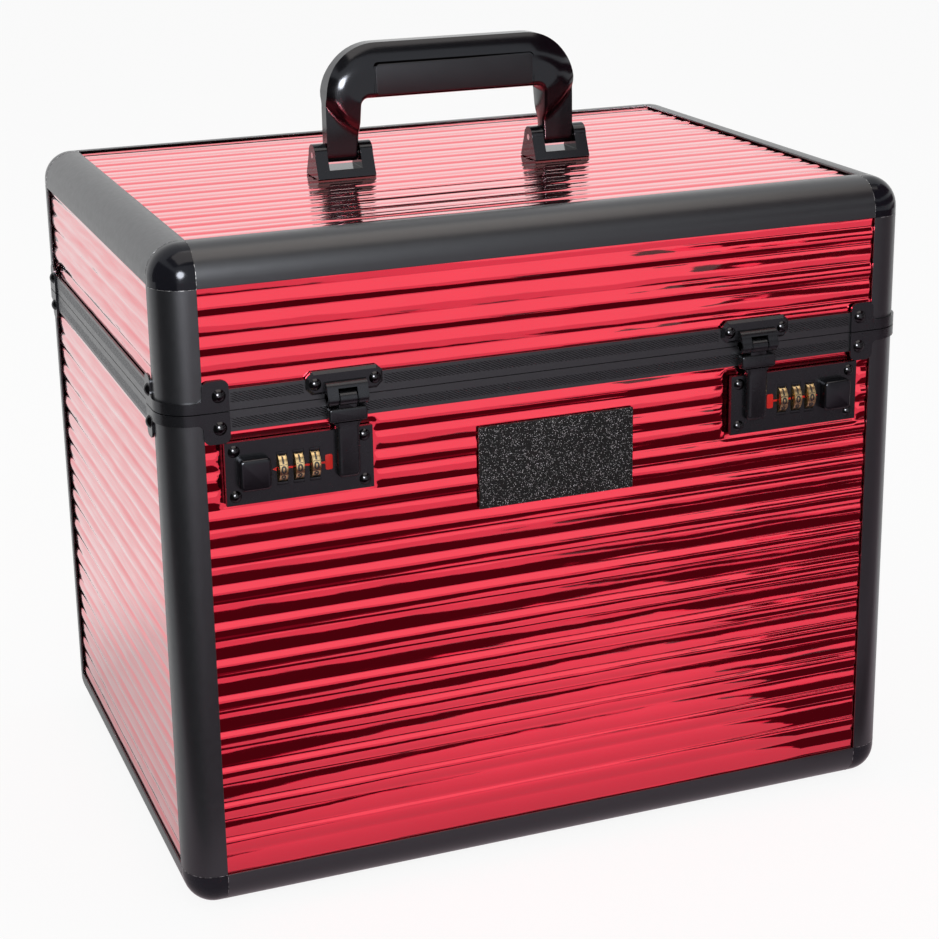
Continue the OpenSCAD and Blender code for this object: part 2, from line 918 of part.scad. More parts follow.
module lid_left_panel() {
    color(red_foil) difference() {
        lid_board_left();
        at_bracket_rivets_left(1) rivet_hole();
    }
}

module lid_right_panel() {
    color(red_foil) mirror([1, 0, 0]) difference() {
        lid_board_left();
        at_bracket_rivets_left(1) rivet_hole();
    }
}

module lid_top_panel() {
    color(red_foil) difference() {
        translate([-panel_x / 2, 0, case_h]) rotate([0, 90, 0]) linear_extrude(panel_x)
            rib_section(-panel_y / 2, panel_y / 2, rib_top);
        at_handle_screws() translate([0, 0, -panel_in - eps])
            cylinder(r = screw_r + 0.3, h = panel_in + 2 * eps);
    }
}

module lid_posts() {
    color(black_metal) posts(body_h + parting_gap / 2, case_h - frame_leg);
}

module top_rails() {
    color(black_metal) to_top() lower_rails();
}

module top_corner_caps() {
    color(black_plastic) to_top() lower_caps();
}

// Hasp brackets and hasps, drawn with x across, y out of the front face, z from the parting line
module at_hasp() {
    translate([hasp_x, -half_d, body_h]) mirror([0, 1, 0]) children();
}

module hasp_bore(r) {
    translate([-hasp_bracket_w, hasp_axis_out, hasp_axis_up]) rotate([0, 90, 0])
        cylinder(r = r, h = 2 * hasp_bracket_w);
}

module hasp_knuckle(x0, x1) {
    translate([x0, hasp_axis_out, hasp_axis_up]) rotate([0, 90, 0])
        cylinder(r = hasp_barrel_r, h = x1 - x0);
}

module hasp_bracket() {
    chamfer = 3;
    half = hasp_bracket_w / 2;
    knuckle_in = hasp_mid_w / 2 + side_gap;
    knuckle_out = hasp_knuckle_w / 2;
    low = parting_gap / 2 + touch_gap;
    difference() {
        union() {
            rotate([90, 0, 0]) mirror([0, 0, 1]) linear_extrude(hasp_bracket_t) polygon([
                [-half + chamfer, hasp_bracket_z0], [half - chamfer, hasp_bracket_z0],
                [half, hasp_bracket_z0 + chamfer], [half, hasp_bracket_z1 - chamfer],
                [half - chamfer, hasp_bracket_z1], [-half + chamfer, hasp_bracket_z1],
                [-half, hasp_bracket_z1 - chamfer], [-half, hasp_bracket_z0 + chamfer]
            ]);
            both_x() {
                hasp_knuckle(knuckle_in, knuckle_out);
                translate([knuckle_in, 0, low])
                    cube([knuckle_out - knuckle_in, hasp_axis_out, hasp_bracket_z0 + eps - low]);
            }
        }
        hasp_bore(hasp_pin_r + pin_fit);
        for (dx = [-1, 1])
            translate([dx * hasp_rivet_x, -eps, hasp_rivet_up]) rotate([-90, 0, 0])
                cylinder(r = rivet_shank_r + rivet_fit, h = 10);
    }
}

module hasp_bracket_right() {
    color(black_metal) right_side() at_hasp() hasp_bracket();
}

module hasp_bracket_left() {
    color(black_metal) left_side() at_hasp() hasp_bracket();
}

module hasp_pins() {
    color(steel) both_x() at_hasp()
        translate([-hasp_knuckle_w / 2, hasp_axis_out, hasp_axis_up]) rotate([0, 90, 0])
            cylinder(r = hasp_pin_r, h = hasp_knuckle_w);
}

module hasp_bracket_rivets() {
    color(black_metal) at_hasp_rivets()
        rivet(small_head_r, hasp_bracket_t, rim_depth + rivet_tail);
}

// Outline of a hasp: a wide head, hollow shoulders and a narrow arm with a round end
module hasp_outline() {
    arm = hasp_arm_w / 2;
    head = hasp_head_w / 2;
    low = hasp_axis_up - hasp_len;
    shoulder = head - arm;
    end_r = 2.5;
    translate([-hasp_mid_w / 2, hasp_head_top - eps])
        square([hasp_mid_w, hasp_axis_up - hasp_head_top + eps]);
    translate([-head, hasp_head_low]) square([hasp_head_w, hasp_head_top - hasp_head_low]);
    translate([-arm, low + end_r]) square([hasp_arm_w, hasp_head_low - low - end_r + eps]);
    translate([-arm + end_r, low]) square([hasp_arm_w - 2 * end_r, end_r + eps]);
    for (dx = [-1, 1]) {
        translate([dx * (arm - end_r), low + end_r]) circle(end_r);
        mirror([dx < 0 ? 1 : 0, 0]) difference() {
            translate([arm, hasp_head_low - shoulder]) square([shoulder, shoulder]);
            translate([head, hasp_head_low - shoulder]) circle(shoulder);
        }
    }
}

module hasp() {
    difference() {
        union() {
            translate([0, hasp_back, 0]) rotate([90, 0, 0]) mirror([0, 0, 1])
                linear_extrude(hasp_t) hasp_outline();
            hasp_knuckle(-hasp_mid_w / 2, hasp_mid_w / 2);
        }
        hasp_bore(hasp_pin_r + run_fit);
    }
}

module hasp_right() {
    color(black_metal) right_side() at_hasp() hasp();
}

module hasp_left() {
    color(black_metal) left_side() at_hasp() hasp();
}

// Handle bases: a floor with two ears, fixed from inside by two screws each
module at_handle_screws() {
    both_x() for (dy = [-1, 1]) translate([base_x, dy * screw_y, case_h]) children();
}

module base_side() {
    low = base_low_d / 2;
    translate([0, pivot_up]) circle(ear_top_r);
    polygon([[-low, touch_gap], [low, touch_gap], [ear_top_r, pivot_up], [-ear_top_r, pivot_up]]);
}

module handle_base() {
    gap_w = base_w - 2 * base_ear_w;
    difference() {
        translate([base_x - base_w / 2, 0, top_crest]) rotate([90, 0, 90])
            linear_extrude(base_w) base_side();
        translate([base_x - gap_w / 2, -base_low_d, top_crest + base_floor])
            cube([gap_w, 2 * base_low_d, pivot_up + ear_top_r]);
        handle_bore(handle_pin_r + pin_fit);
        for (dy = [-1, 1]) translate([base_x, dy * screw_y, top_crest - eps])
            cylinder(r = screw_r + run_fit, h = screw_bite + side_gap + eps);
    }
}

module handle_bore(r) {
    translate([base_x - base_w, 0, pivot_z]) rotate([0, 90, 0]) cylinder(r = r, h = 2 * base_w);
}

module handle_base_right() {
    color(black_plastic) right_side() handle_base();
}

module handle_base_left() {
    color(black_plastic) left_side() handle_base();
}

module handle_pins() {
    color(steel) both_x() translate([base_x - base_w / 2, 0, pivot_z]) rotate([0, 90, 0])
        cylinder(r = handle_pin_r, h = base_w);
}

module handle_screws() {
    color(steel) at_handle_screws() translate([0, 0, -panel_in]) {
        translate([0, 0, -screw_head_h]) cylinder(r = screw_head_r, h = screw_head_h);
        cylinder(r = screw_r, h = panel_t + screw_bite);
    }
}

// Front outline of the handle: round shoulders, a hand gap, legs that narrow to the pivots
module handle_front_outline() {
    half = handle_w / 2;
    low = pivot_z - leg_end_r;
    leg_in = base_x - leg_w / 2;
    leg_out = base_x + leg_w / 2;
    clear_z = pivot_z + ear_top_r + 1;
    gap_low = pivot_z + leg_flare;
    shoulder_z = handle_top - handle_r;
    gap_round = 4;
    difference() {
        union() {
            translate([-half + handle_r, gap_top]) square([handle_w - 2 * handle_r, grip_h]);
            both_x() {
                translate([half - handle_r, shoulder_z]) circle(handle_r);
                polygon([
                    [leg_in, low], [leg_out, low], [leg_out, clear_z], [half, shoulder_z],
                    [gap_half - eps, shoulder_z], [gap_half, gap_low], [leg_in, clear_z]
                ]);
            }
        }
        polygon([
            [-leg_in, low - eps], [leg_in, low - eps], [leg_in, clear_z],
            [gap_half, gap_low], [gap_half, gap_top - gap_round], [-gap_half, gap_top - gap_round],
            [-gap_half, gap_low], [-leg_in, clear_z]
        ]);
        translate([-gap_half + gap_round, gap_low])
            square([2 * gap_half - 2 * gap_round, gap_top - gap_low]);
        for (dx = [-1, 1])
            translate([dx * (gap_half - gap_round), gap_top - gap_round]) circle(gap_round);
    }
}

// Side outline of the handle: thin at the pivots, full at the grip, rounded on top
module handle_side_outline() {
    half = grip_d / 2;
    flare = leg_flare_d / 2;
    translate([0, pivot_z]) circle(leg_end_r);
    polygon([
        [-leg_end_r, pivot_z], [leg_end_r, pivot_z], [leg_end_r, pivot_z + leg_straight],
        [flare, pivot_z + leg_flare], [half, gap_top], [half, handle_top - grip_round],
        [-half, handle_top - grip_round], [-half, gap_top], [-flare, pivot_z + leg_flare],
        [-leg_end_r, pivot_z + leg_straight]
    ]);
    for (dy = [-1, 1])
        translate([dy * (half - grip_round), handle_top - grip_round]) circle(grip_round);
    translate([-half + grip_round, handle_top - 2 * grip_round])
        square([grip_d - 2 * grip_round, 2 * grip_round]);
}

// Rounded outline of a grip pad
module pad_outline(gap) {
    half = pad_w / 2 - pad_round;
    rise = pad_h / 2 - pad_round;
    for (dx = [-1, 1], dz = [-1, 1])
        translate([dx * half, dz * rise]) circle(pad_round + gap);
    translate([-half, -pad_h / 2 - gap]) square([2 * half, pad_h + 2 * gap]);
    translate([-pad_w / 2 - gap, -rise]) square([pad_w + 2 * gap, 2 * rise]);
}

module handle_grip() {
    color(black_plastic) difference() {
        intersection() {
            translate([0, grip_d, 0]) rotate([90, 0, 0]) linear_extrude(2 * grip_d)
                handle_front_outline();
            translate([-handle_w, 0, 0]) rotate([90, 0, 90]) linear_extrude(2 * handle_w)
                handle_side_outline();
        }
        both_x() handle_bore(handle_pin_r + run_fit);
        both_y() translate([0, -grip_d / 2 + pad_deep, pad_mid]) rotate([90, 0, 0])
            linear_extrude(grip_d) pad_outline(touch_gap);
    }
}

module handle_pads() {
    color(foam) both_y() translate([0, -grip_d / 2 + pad_deep, pad_mid]) rotate([90, 0, 0])
        linear_extrude(pad_t) pad_outline(0);
}

// Lift-out tray: one long bay at the front, three bays behind it
module tray() {
    depth = tray_rear - tray_front;
    inner_x = 2 * tray_half_w - 2 * tray_wall;
    front_d = tray_split * depth;
    rear_d = depth - front_d - 3 * tray_wall;
    bay_w = (inner_x - 2 * tray_wall) / 3;
    color(black_plastic) difference() {
        translate([-tray_half_w, tray_front, tray_low])
            cube([2 * tray_half_w, depth, tray_h]);
        translate([-inner_x / 2, tray_front + tray_wall, tray_low + tray_wall])
            cube([inner_x, front_d, tray_h]);
        for (i = [0 : 2])
            translate([
                -inner_x / 2 + i * (bay_w + tray_wall),
                tray_front + front_d + 2 * tray_wall,
                tray_low + tray_wall
            ])
                cube([bay_w, rear_d, tray_h]);
    }
}

body_front_panel();
body_rear_panel();
body_left_panel();
body_right_panel();
floor_panel();
body_posts();
bottom_rails();
bottom_corner_caps();
body_rims();
body_brackets();
body_bracket_rivets();
lock_plate_left();
lock_plate_right();
lock_boxes();
lock_axles();
lock_index();
lock_rivets();
name_plate();
body_lining();
floor_mat();
tray_ledges();
hinge_body_leaves();
hinge_pins();
hinge_body_rivets();
lid_top_panel();
lid_front_panel();
lid_rear_panel();
lid_left_panel();
lid_right_panel();
lid_posts();
top_rails();
top_corner_caps();
lid_rims();
lid_brackets();
lid_bracket_rivets();
handle_base_left();
handle_base_right();
handle_pins();
handle_screws();
hasp_bracket_left();
hasp_bracket_right();
hasp_pins();
hasp_bracket_rivets();
lid_lining();
hinge_lid_leaves();
hinge_lid_rivets();
handle_grip();
handle_pads();
hasp_left();
hasp_right();
left_wheel(-1);  // left_wheel_1
left_wheel(0);  // left_wheel_2
left_wheel(1);  // left_wheel_3
right_wheel(-1);  // right_wheel_1
right_wheel(0);  // right_wheel_2
right_wheel(1);  // right_wheel_3
left_button();
right_button();
tray();
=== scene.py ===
"""Looks of a horse grooming box: mirror-like ribbed foil, satin black frame, brass wheels.

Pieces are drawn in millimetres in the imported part's own frame (front towards -Y, +Z up)
and each one rides on a body of that part.
"""

import json
import math

import bmesh
import bpy
import numpy as np
from mathutils import Matrix, Vector, noise

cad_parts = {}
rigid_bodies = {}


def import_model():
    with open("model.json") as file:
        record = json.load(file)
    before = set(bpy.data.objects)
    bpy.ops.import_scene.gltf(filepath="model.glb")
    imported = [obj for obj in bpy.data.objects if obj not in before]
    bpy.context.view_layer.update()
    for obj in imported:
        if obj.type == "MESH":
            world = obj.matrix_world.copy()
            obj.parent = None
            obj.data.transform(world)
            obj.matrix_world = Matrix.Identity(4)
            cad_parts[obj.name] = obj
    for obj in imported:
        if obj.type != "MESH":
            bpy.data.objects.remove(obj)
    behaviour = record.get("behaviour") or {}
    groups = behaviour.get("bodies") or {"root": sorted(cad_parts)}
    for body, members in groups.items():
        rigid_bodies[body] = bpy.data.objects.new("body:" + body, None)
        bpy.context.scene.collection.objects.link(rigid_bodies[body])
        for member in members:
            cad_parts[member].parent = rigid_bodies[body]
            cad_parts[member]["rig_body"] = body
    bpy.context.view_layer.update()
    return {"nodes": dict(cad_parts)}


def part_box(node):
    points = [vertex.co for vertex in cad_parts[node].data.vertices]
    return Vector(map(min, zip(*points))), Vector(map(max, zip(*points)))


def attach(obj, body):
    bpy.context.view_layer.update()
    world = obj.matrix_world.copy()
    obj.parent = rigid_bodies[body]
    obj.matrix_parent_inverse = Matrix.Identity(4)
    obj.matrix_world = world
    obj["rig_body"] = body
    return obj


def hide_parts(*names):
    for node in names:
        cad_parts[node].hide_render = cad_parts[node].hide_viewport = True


MM = 0.001
SIDES = (("left", -1), ("right", 1))

# Sizes repeated from the part's source
PARTING_Z = 262.5
CASE_TOP = 342.0
HALF_W = 200.0
HALF_D = 145.0
FRAME_LEG = 19.5
FRAME_R = 16.0
RIB_PAIR = 19.25
RIB_PROUD = 8.9
RIB_LOW_W = RIB_PAIR - RIB_PROUD
RIB_LOW = 0.35
RIB_VALLEY = 0.7
LOCK_X = 134.7
LOCK_Z = 231.0
LOCK_OUT = 1.5
LOCK_WINDOW = (-16.4, 30.7, -10.7, 10.7)
LINING_WINDOW = (-16.7, 31.0, -11.0, 11.0)
WHEEL_R = 8.0
WHEEL_W = 4.4
WHEEL_MID = 0.9
WHEEL_PITCH = 8.2
BRACKET_FRONT = 32.0
BRACKET_SIDE = 29.0
HASP_X = 111.0
HASP_BRACKET_W = 38.6
HINGE_X = 110.0
HINGE_W = 50.0
LINING_T = 3.0
LINING_X = 180.0
LINING_Y = 125.0
SCREW_X = 62.75
SCREW_Y = 5.5

for leftover in list(bpy.data.objects):
    bpy.data.objects.remove(leftover)
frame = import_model()


def linked(name, data):
    """A new object in the scene."""
    obj = bpy.data.objects.new(name, data)
    bpy.context.scene.collection.objects.link(obj)
    return obj


# Node materials


def plug(tree, socket, value):
    """Sets a socket, or links it where the value is a socket too."""
    if isinstance(value, bpy.types.NodeSocket):
        tree.links.new(value, socket)
    else:
        socket.default_value = value


def feed(tree, node, **inputs):
    """Plugs values into the named sockets of a node."""
    for key, value in inputs.items():
        plug(tree, node.inputs[key.replace("_", " ")], value)
    return node


def add_node(tree, kind, **inputs):
    """A new shader node with values in its named sockets."""
    return feed(tree, tree.nodes.new("ShaderNode" + kind), **inputs)


def node_tree(name):
    """A new material with its nodes and its shader."""
    mat = bpy.data.materials.new(name)
    mat.use_nodes = True
    return mat, mat.node_tree, mat.node_tree.nodes["Principled BSDF"]


def reckoned(tree, kind, operation, *values):
    """The result of a Math or VectorMath node."""
    node = add_node(tree, kind)
    node.operation = operation
    for socket, value in zip([s for s in node.inputs if s.enabled], values):
        plug(tree, socket, value)
    return node.outputs[0]


def mesh_vector(tree, name):
    """A vector attribute of the mesh."""
    node = add_node(tree, "Attribute")
    node.attribute_name = name
    return node.outputs["Vector"]


def object_place(tree):
    return add_node(tree, "TexCoord").outputs["Object"]


def noise_value(tree, size, longer=1, attribute=None, detail=3.0):
    """Noise of about that size in millimetres, from 0 to 1, stretched along X."""
    vector = mesh_vector(tree, attribute) if attribute else object_place(tree)
    scale = [1 / (size * MM * s) for s in (longer, 1, 1)]
    vector = add_node(tree, "Mapping", Vector=vector, Scale=scale).outputs["Vector"]
    return add_node(tree, "TexNoise", Vector=vector, Scale=1.0, Detail=detail).outputs["Fac"]


def between(tree, factor, low, high, start=0.0, end=1.0):
    """Maps a factor from start..end to low..high."""
    node = add_node(
        tree, "MapRange", Value=factor, From_Min=start, From_Max=end, To_Min=low, To_Max=high
    )
    return node.outputs["Result"]


def blend(tree, factor, first, second):
    """A colour between two RGBA colours."""
    mix = add_node(tree, "Mix")
    mix.data_type = "RGBA"
    return feed(tree, mix, Factor=factor, A=first, B=second).outputs["Result"]


def tinted(tree, factor, color, spread):
    """A colour that varies about its value by the given share."""
    low = [*(c * (1 - spread) for c in color), 1]
    high = [*(min(1, c * (1 + spread)) for c in color), 1]
    return blend(tree, factor, low, high)


def bumped(tree, shader, height, depth, **normal):
    """Adds a bump of that depth in millimetres, on top of another Normal if given."""
    bump = add_node(tree, "Bump", Height=height, Strength=1.0, Distance=depth * MM, **normal)
    feed(tree, shader, Normal=bump.outputs["Normal"])
    return bump.outputs["Normal"]


# Sizes of the clouds and the worn places of a plain finish, in grains
CLOUD = 40
WEAR = 12


def plain_finish(name, color, rough, grain, depth, spread=0.12, rough_spread=0.06, **sockets):
    """A moulded, coated or bare surface: cloudy tone, uneven gloss and a fine grain."""
    mat, tree, shader = node_tree(name)
    tone = tinted(tree, noise_value(tree, grain * CLOUD), color, spread)
    wear = noise_value(tree, grain * WEAR)
    gloss = between(tree, wear, rough - rough_spread, rough + rough_spread)
    feed(tree, shader, Base_Color=tone, Roughness=gloss, **sockets)
    bumped(tree, shader, noise_value(tree, grain), depth)
    return mat


def slewed(tree, normal, factor, amount):
    """A normal turned a little along the ribs, to either side, as drawn foil does."""
    along = add_node(tree, "VectorTransform", Vector=mesh_vector(tree, "along"))
    along.vector_type = "VECTOR"
    along.convert_from, along.convert_to = "OBJECT", "WORLD"
    share = between(tree, factor, -amount, amount)
    turn = reckoned(tree, "VectorMath", "SCALE", along.outputs["Vector"], share)
    total = reckoned(tree, "VectorMath", "ADD", normal, turn)
    return reckoned(tree, "VectorMath", "NORMALIZE", total)


FOIL_RED = (0.92, 0.036, 0.072)
FOIL_ROUGH = (0.03, 0.09)
RIPPLE_BUMP = 0.05
HAIRLINE_BUMP = 0.006
DRAWN_SLEW = 0.09


def foil_finish(name):
    """Red metallised foil under a clear coat, with long ripples and hairlines along its ribs."""
    mat, tree, shader = node_tree(name)

    def ribbed(size, longer=1, detail=3.0):
        return noise_value(tree, size, longer, "rib", detail)

    normal = bumped(tree, shader, ribbed(5, 5, 1.0), RIPPLE_BUMP)
    normal = bumped(tree, shader, ribbed(0.9, 9, 2.0), HAIRLINE_BUMP, Normal=normal)
    feed(
        tree, shader, Metallic=1, Coat_Weight=0.9, Coat_Roughness=0.03,
        Base_Color=tinted(tree, ribbed(60), FOIL_RED, 0.05),
        Roughness=between(tree, ribbed(14, 4), *FOIL_ROUGH),
        Normal=slewed(tree, normal, ribbed(2.6, 11, 1.0), DRAWN_SLEW),
    )
    return mat


FLAKE_SIZE = 0.28
FLAKE_CUT = (0.93, 0.985)
FLAKE_BUMP = 0.03
FLAKE_COLORS = ((0.007, 0.007, 0.007, 1), (0.66, 0.66, 0.68, 1))


def glitter_finish(name):
    """Black lacquer with fine silver flakes at random angles."""
    mat, tree, shader = node_tree(name)
    cells = add_node(tree, "TexVoronoi", Vector=object_place(tree), Scale=1 / (FLAKE_SIZE * MM))
    random = add_node(tree, "SeparateColor", Color=cells.outputs["Color"]).outputs
    flake = between(tree, random["Red"], 0.0, 1.0, *FLAKE_CUT)
    feed(
        tree, shader, Specular_IOR_Level=0.15,
        Base_Color=blend(tree, flake, *FLAKE_COLORS),
        Roughness=between(tree, random["Green"], 0.25, 0.6),
        Metallic=between(tree, flake, 0.0, 0.7),
    )
    bumped(tree, shader, random["Blue"], FLAKE_BUMP)
    return mat


SPOT_SIZE = 2.2
SPOT_CUT = (0.47, 0.6)
SPOT_COLORS = ((0.012, 0.012, 0.013, 1), (0.55, 0.55, 0.56, 1))


def seam_finish(name):
    """A metal edge between black parts, metal only in spots and black between them."""
    mat, tree, shader = node_tree(name)
    spots = between(tree, noise_value(tree, SPOT_SIZE), 0.0, 1.0, *SPOT_CUT)
    feed(
        tree, shader, Metallic=spots, Roughness=between(tree, spots, 0.3, 0.4),
        Base_Color=blend(tree, spots, *SPOT_COLORS),
    )
    return mat


TINT = {"Specular_Tint": (0.86, 0.90, 1.0, 1)}
DULL = {**TINT, "Specular_IOR_Level": 0.4}
DIM = {**TINT, "Specular_IOR_Level": 0.30}
EVEN = {"rough_spread": 0.03}
MOULDED = {**TINT, "Specular_IOR_Level": 0.22, **EVEN}
GLOSS = {**DULL, **EVEN}
LACQUER = {**TINT, "Coat_Weight": 0.36, "Coat_Roughness": 0.34}
METAL = {"Metallic": 1.0}
BLACK = (0.006, 0.006, 0.007)
DEEP_BLACK = (0.003, 0.003, 0.004)
BLUE_BLACK = (0.007, 0.007, 0.010)
# Plain finishes by slot: name, colour, roughness, grain and depth of its bump in mm, the rest
PLAIN = {
    "black_frame": ("satin_frame", BLACK, 0.36, 0.25, 0.004, LACQUER),
    "black_cap": ("cap_plastic", BLUE_BLACK, 0.14, 0.8, 0.003, MOULDED),
    "black_sheet": ("powder_coat", BLACK, 0.26, 0.35, 0.004, DULL),
    "black_rivet": ("black_nickel", (0.034, 0.034, 0.037), 0.17, 0.3, 0.003, METAL),
    "handle_plastic": ("gloss_plastic", DEEP_BLACK, 0.15, 1.2, 0.003, GLOSS),
    "grip_pad": ("grip_rubber", (0.007, 0.007, 0.008), 0.42, 0.5, 0.02, DIM),
    # Matte black without gloss, for plates that paint the shade in grooves and gaps
    "gap_black": ("gap_black", (0.002, 0.002, 0.002), 0.9, 0.4, 0.003, {"Specular_IOR_Level": 0.0}),
    "button_plastic": ("button_plastic", DEEP_BLACK, 0.2, 0.4, 0.003, DULL),
    "brass": ("brass", (0.54, 0.40, 0.21), 0.27, 0.3, 0.004, METAL),
    "knurl": ("knurl_black", (0.016, 0.016, 0.018), 0.28, 0.25, 0.003, TINT),
    "enamel": ("black_enamel", (0.008, 0.008, 0.008), 0.4, 0.2, 0.003, {}),
    "red_mark": ("red_paint", (0.58, 0.012, 0.007), 0.42, 0.3, 0.005, {"Specular_IOR_Level": 0.2}),
    "steel": ("steel", (0.62, 0.62, 0.63), 0.3, 0.3, 0.004, METAL),
    "foam": ("lining_foam", (0.030, 0.030, 0.033), 0.9, 0.7, 0.12, {"spread": 0.25}),
    "tray_plastic": ("tray_plastic", (0.030, 0.030, 0.032), 0.46, 0.45, 0.03, {}),
    "inner_plastic": ("inner_plastic", (0.024, 0.024, 0.026), 0.5, 0.5, 0.02, {}),
    "base_board": ("base_board", (0.020, 0.020, 0.021), 0.6, 0.6, 0.03, {}),
}
MATERIALS = {slot: plain_finish(*look, **rest) for slot, (*look, rest) in PLAIN.items()}
MATERIALS["red_panel"] = foil_finish("red_foil")
MATERIALS["glitter_plate"] = glitter_finish("glitter")
MATERIALS["spotted_seam"] = seam_finish("spotted_seam")


# Meshes


def dress(obj, finish):
    """Gives an object one of the finishes."""
    obj.data.materials.clear()
    obj.data.materials.append(MATERIALS[finish])


def settle(mesh, body, slot, replaces=(), finish=None):
    """A dressed object of a mesh that rides on its body."""
    obj = linked(mesh.name, mesh)
    dress(obj, finish or slot)
    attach(obj, body)
    for node in replaces:
        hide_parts(node)
    return obj


def add_piece(name, verts, faces, body, slot, replaces=(), sharp=40.0, finish=None):
    """A mesh piece from points in millimetres."""
    mesh = bpy.data.meshes.new(name)
    mesh.from_pydata((np.asarray(verts, float) * MM).tolist(), [], faces)
    mesh.validate()
    mesh.shade_smooth()
    mesh.set_sharp_from_angle(angle=math.radians(sharp))
    return settle(mesh, body, slot, replaces, finish)


def joined(parts):
    """Several (verts, faces) lists as one."""
    verts, faces = [], []
    for part_verts, part_faces in parts:
        start = len(verts)
        verts.extend(part_verts)
        faces.extend([[start + i for i in face] for face in part_faces])
    return verts, faces


def strip(a, b, count):
    """Quads between two rings of points that start at a and at b."""
    return [[a + i, b + i, b + (i + 1) % count, a + (i + 1) % count] for i in range(count)]


def capped(rows, count, flip=False):
    """Faces over rings of points, row after row, with both ends closed."""
    ends = [list(range(count)), [rows * count - 1 - i for i in range(count)]]
    faces = []
    for row in range(rows - 1):
        faces += strip(row * count, (row + 1) * count, count)
    if flip:
        faces = [[a, d, c, b] for a, b, c, d in faces]
        ends = [end[::-1] for end in ends]
    return faces + ends


def arc(centre, radius, start, end, steps):
    """Points on an arc, its angles in degrees."""
    angles = np.radians(np.linspace(start, end, steps + 1))
    return [(centre[0] + radius * math.cos(a), centre[1] + radius * math.sin(a)) for a in angles]


def rounded_rect(width, height, radius, steps=6):
    """A rectangle about the origin with round corners, anticlockwise."""
    x, y = width / 2 - radius, height / 2 - radius
    points = []
    for start, centre in ((0, (x, y)), (90, (-x, y)), (180, (-x, -y)), (270, (x, -y))):
        points += arc(centre, radius, start, start + 90, steps)
    return points


def inset(outline, distance):
    """An anticlockwise outline moved inwards by that distance."""
    points = np.asarray(outline, float)
    ahead = np.roll(points, -1, axis=0) - points
    ahead /= np.linalg.norm(ahead, axis=1)[:, None]
    inwards = np.stack([-ahead[:, 1], ahead[:, 0]], axis=1)
    normal = inwards + np.roll(inwards, 1, axis=0)
    normal /= np.linalg.norm(normal, axis=1)[:, None]
    lean = np.clip((normal * inwards).sum(1), 0.5, 1)
    return points + normal * (distance / lean)[:, None]


def pillow(outline, back, front, edge, steps=5):
    """A plate over an outline from depth back to front, its front edge rounded."""
    loops = [(0, back), (0, front - edge)]
    for k in range(1, steps + 1):
        a = math.radians(90 * k / steps)
        loops.append((edge * (1 - math.cos(a)), front - edge * (1 - math.sin(a))))
    verts = [(u, v, depth) for distance, depth in loops for u, v in inset(outline, distance)]
    return verts, capped(len(loops), len(outline), flip=True)


def moved(part, u, v):
    return [(x + u, y + v, out) for x, y, out in part[0]], part[1]


def on_front(part, x, z, mirror):
    """Turns a plate drawn as (across, up, out) to the front face, at x and z."""
    verts, faces = part
    placed = [(mirror * (u + x), -HALF_D - out, v + z) for u, v, out in verts]
    return placed, [face[::-1] for face in faces] if mirror < 0 else faces


# Upright ribbed panels: part, body, and from the parting line to the middle of one proud rib
UPRIGHT = ("front", "rear", "left", "right")
PANELS = (("body", "case", (-73.5, -73.5, -48.4, -48.4)), ("lid", "lid", (50.9, 50.9, 41.0, 41.0)))
TOP_RIB = -9.5
# Directions of each face: along, across and out
FACE_AXES = {
    "front": np.array([(1.0, 0, 0), (0, 0, 1), (0, -1, 0)]),
    "rear": np.array([(-1.0, 0, 0), (0, 0, 1), (0, 1, 0)]),
    "left": np.array([(0, -1.0, 0), (0, 0, 1), (-1, 0, 0)]),
    "right": np.array([(0, 1.0, 0), (0, 0, 1), (1, 0, 0)]),
    "top": np.array([(1.0, 0, 0), (0, 1, 0), (0, 0, 1)]),
    "bottom": np.array([(1.0, 0, 0), (0, -1, 0), (0, 0, -1)]),
}
COLUMN = 7.0
RIB_STEPS = 10
RIPPLE = 0.09
RIPPLE_ALONG = 42.0
RIPPLE_ACROSS = 9.0
PRESS_FLAT = 0.6
PRESS_SLOPE = 5.0
PRESS_SINK = 0.4
PRESS_STEPS = 6
FOIL_T = 0.15
BOARD_SINK = 1.4


def span(node, axis):
    """Lowest and highest millimetre of a node along an axis."""
    ends = sorted(corner.dot(Vector(axis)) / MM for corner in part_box(node))
    return ends[0], ends[1]


def rib_depth(v):
    """Depth below the highest crests, at a distance from the middle of a proud rib."""
    m = np.abs(v - RIB_PAIR * np.round(v / RIB_PAIR))
    proud = RIB_VALLEY * (2 * m / RIB_PROUD) ** 2
    low = RIB_LOW + (RIB_VALLEY - RIB_LOW) * ((RIB_PAIR - 2 * m) / RIB_LOW_W) ** 2
    return np.where(m <= RIB_PROUD / 2, proud, low)


def rib_lines(low, high, mid):
    """Sample places across the ribs, with one on each crest and valley."""
    first = math.floor((low - mid) / RIB_PAIR) - 1
    last = math.ceil((high - mid) / RIB_PAIR) + 1
    lines = [low, high]
    for k in range(first, last + 1):
        start = mid + k * RIB_PAIR - RIB_PROUD / 2
        lines += [start + RIB_PROUD * i / RIB_STEPS for i in range(RIB_STEPS)]
        lines += [start + RIB_PROUD + RIB_LOW_W * i / RIB_STEPS for i in range(RIB_STEPS)]
    return [v for v in lines if low <= v <= high]


def spaced(values, least=0.12):
    """Sorted values without near doubles."""
    kept = []
    for value in sorted(values):
        if not kept or value - kept[-1] > least:
            kept.append(value)
    return np.array(kept)


def beside(along, across, rect, steps):
    """Adds sample places at steps outside the edges of a rectangle."""
    for places, low, high in ((along, *rect[:2]), (across, *rect[2:])):
        places += [low - s for s in steps] + [high + s for s in steps]


def outside(along, across, rect):
    """How far a grid's lines lie outside a rectangle, along and across."""
    a0, a1, v0, v1 = rect
    out_a = np.maximum(a0 - along, along - a1)[:, None]
    return out_a, np.maximum(v0 - across, across - v1)[None, :]


def level(along, across):
    return np.zeros((len(along), len(across)))


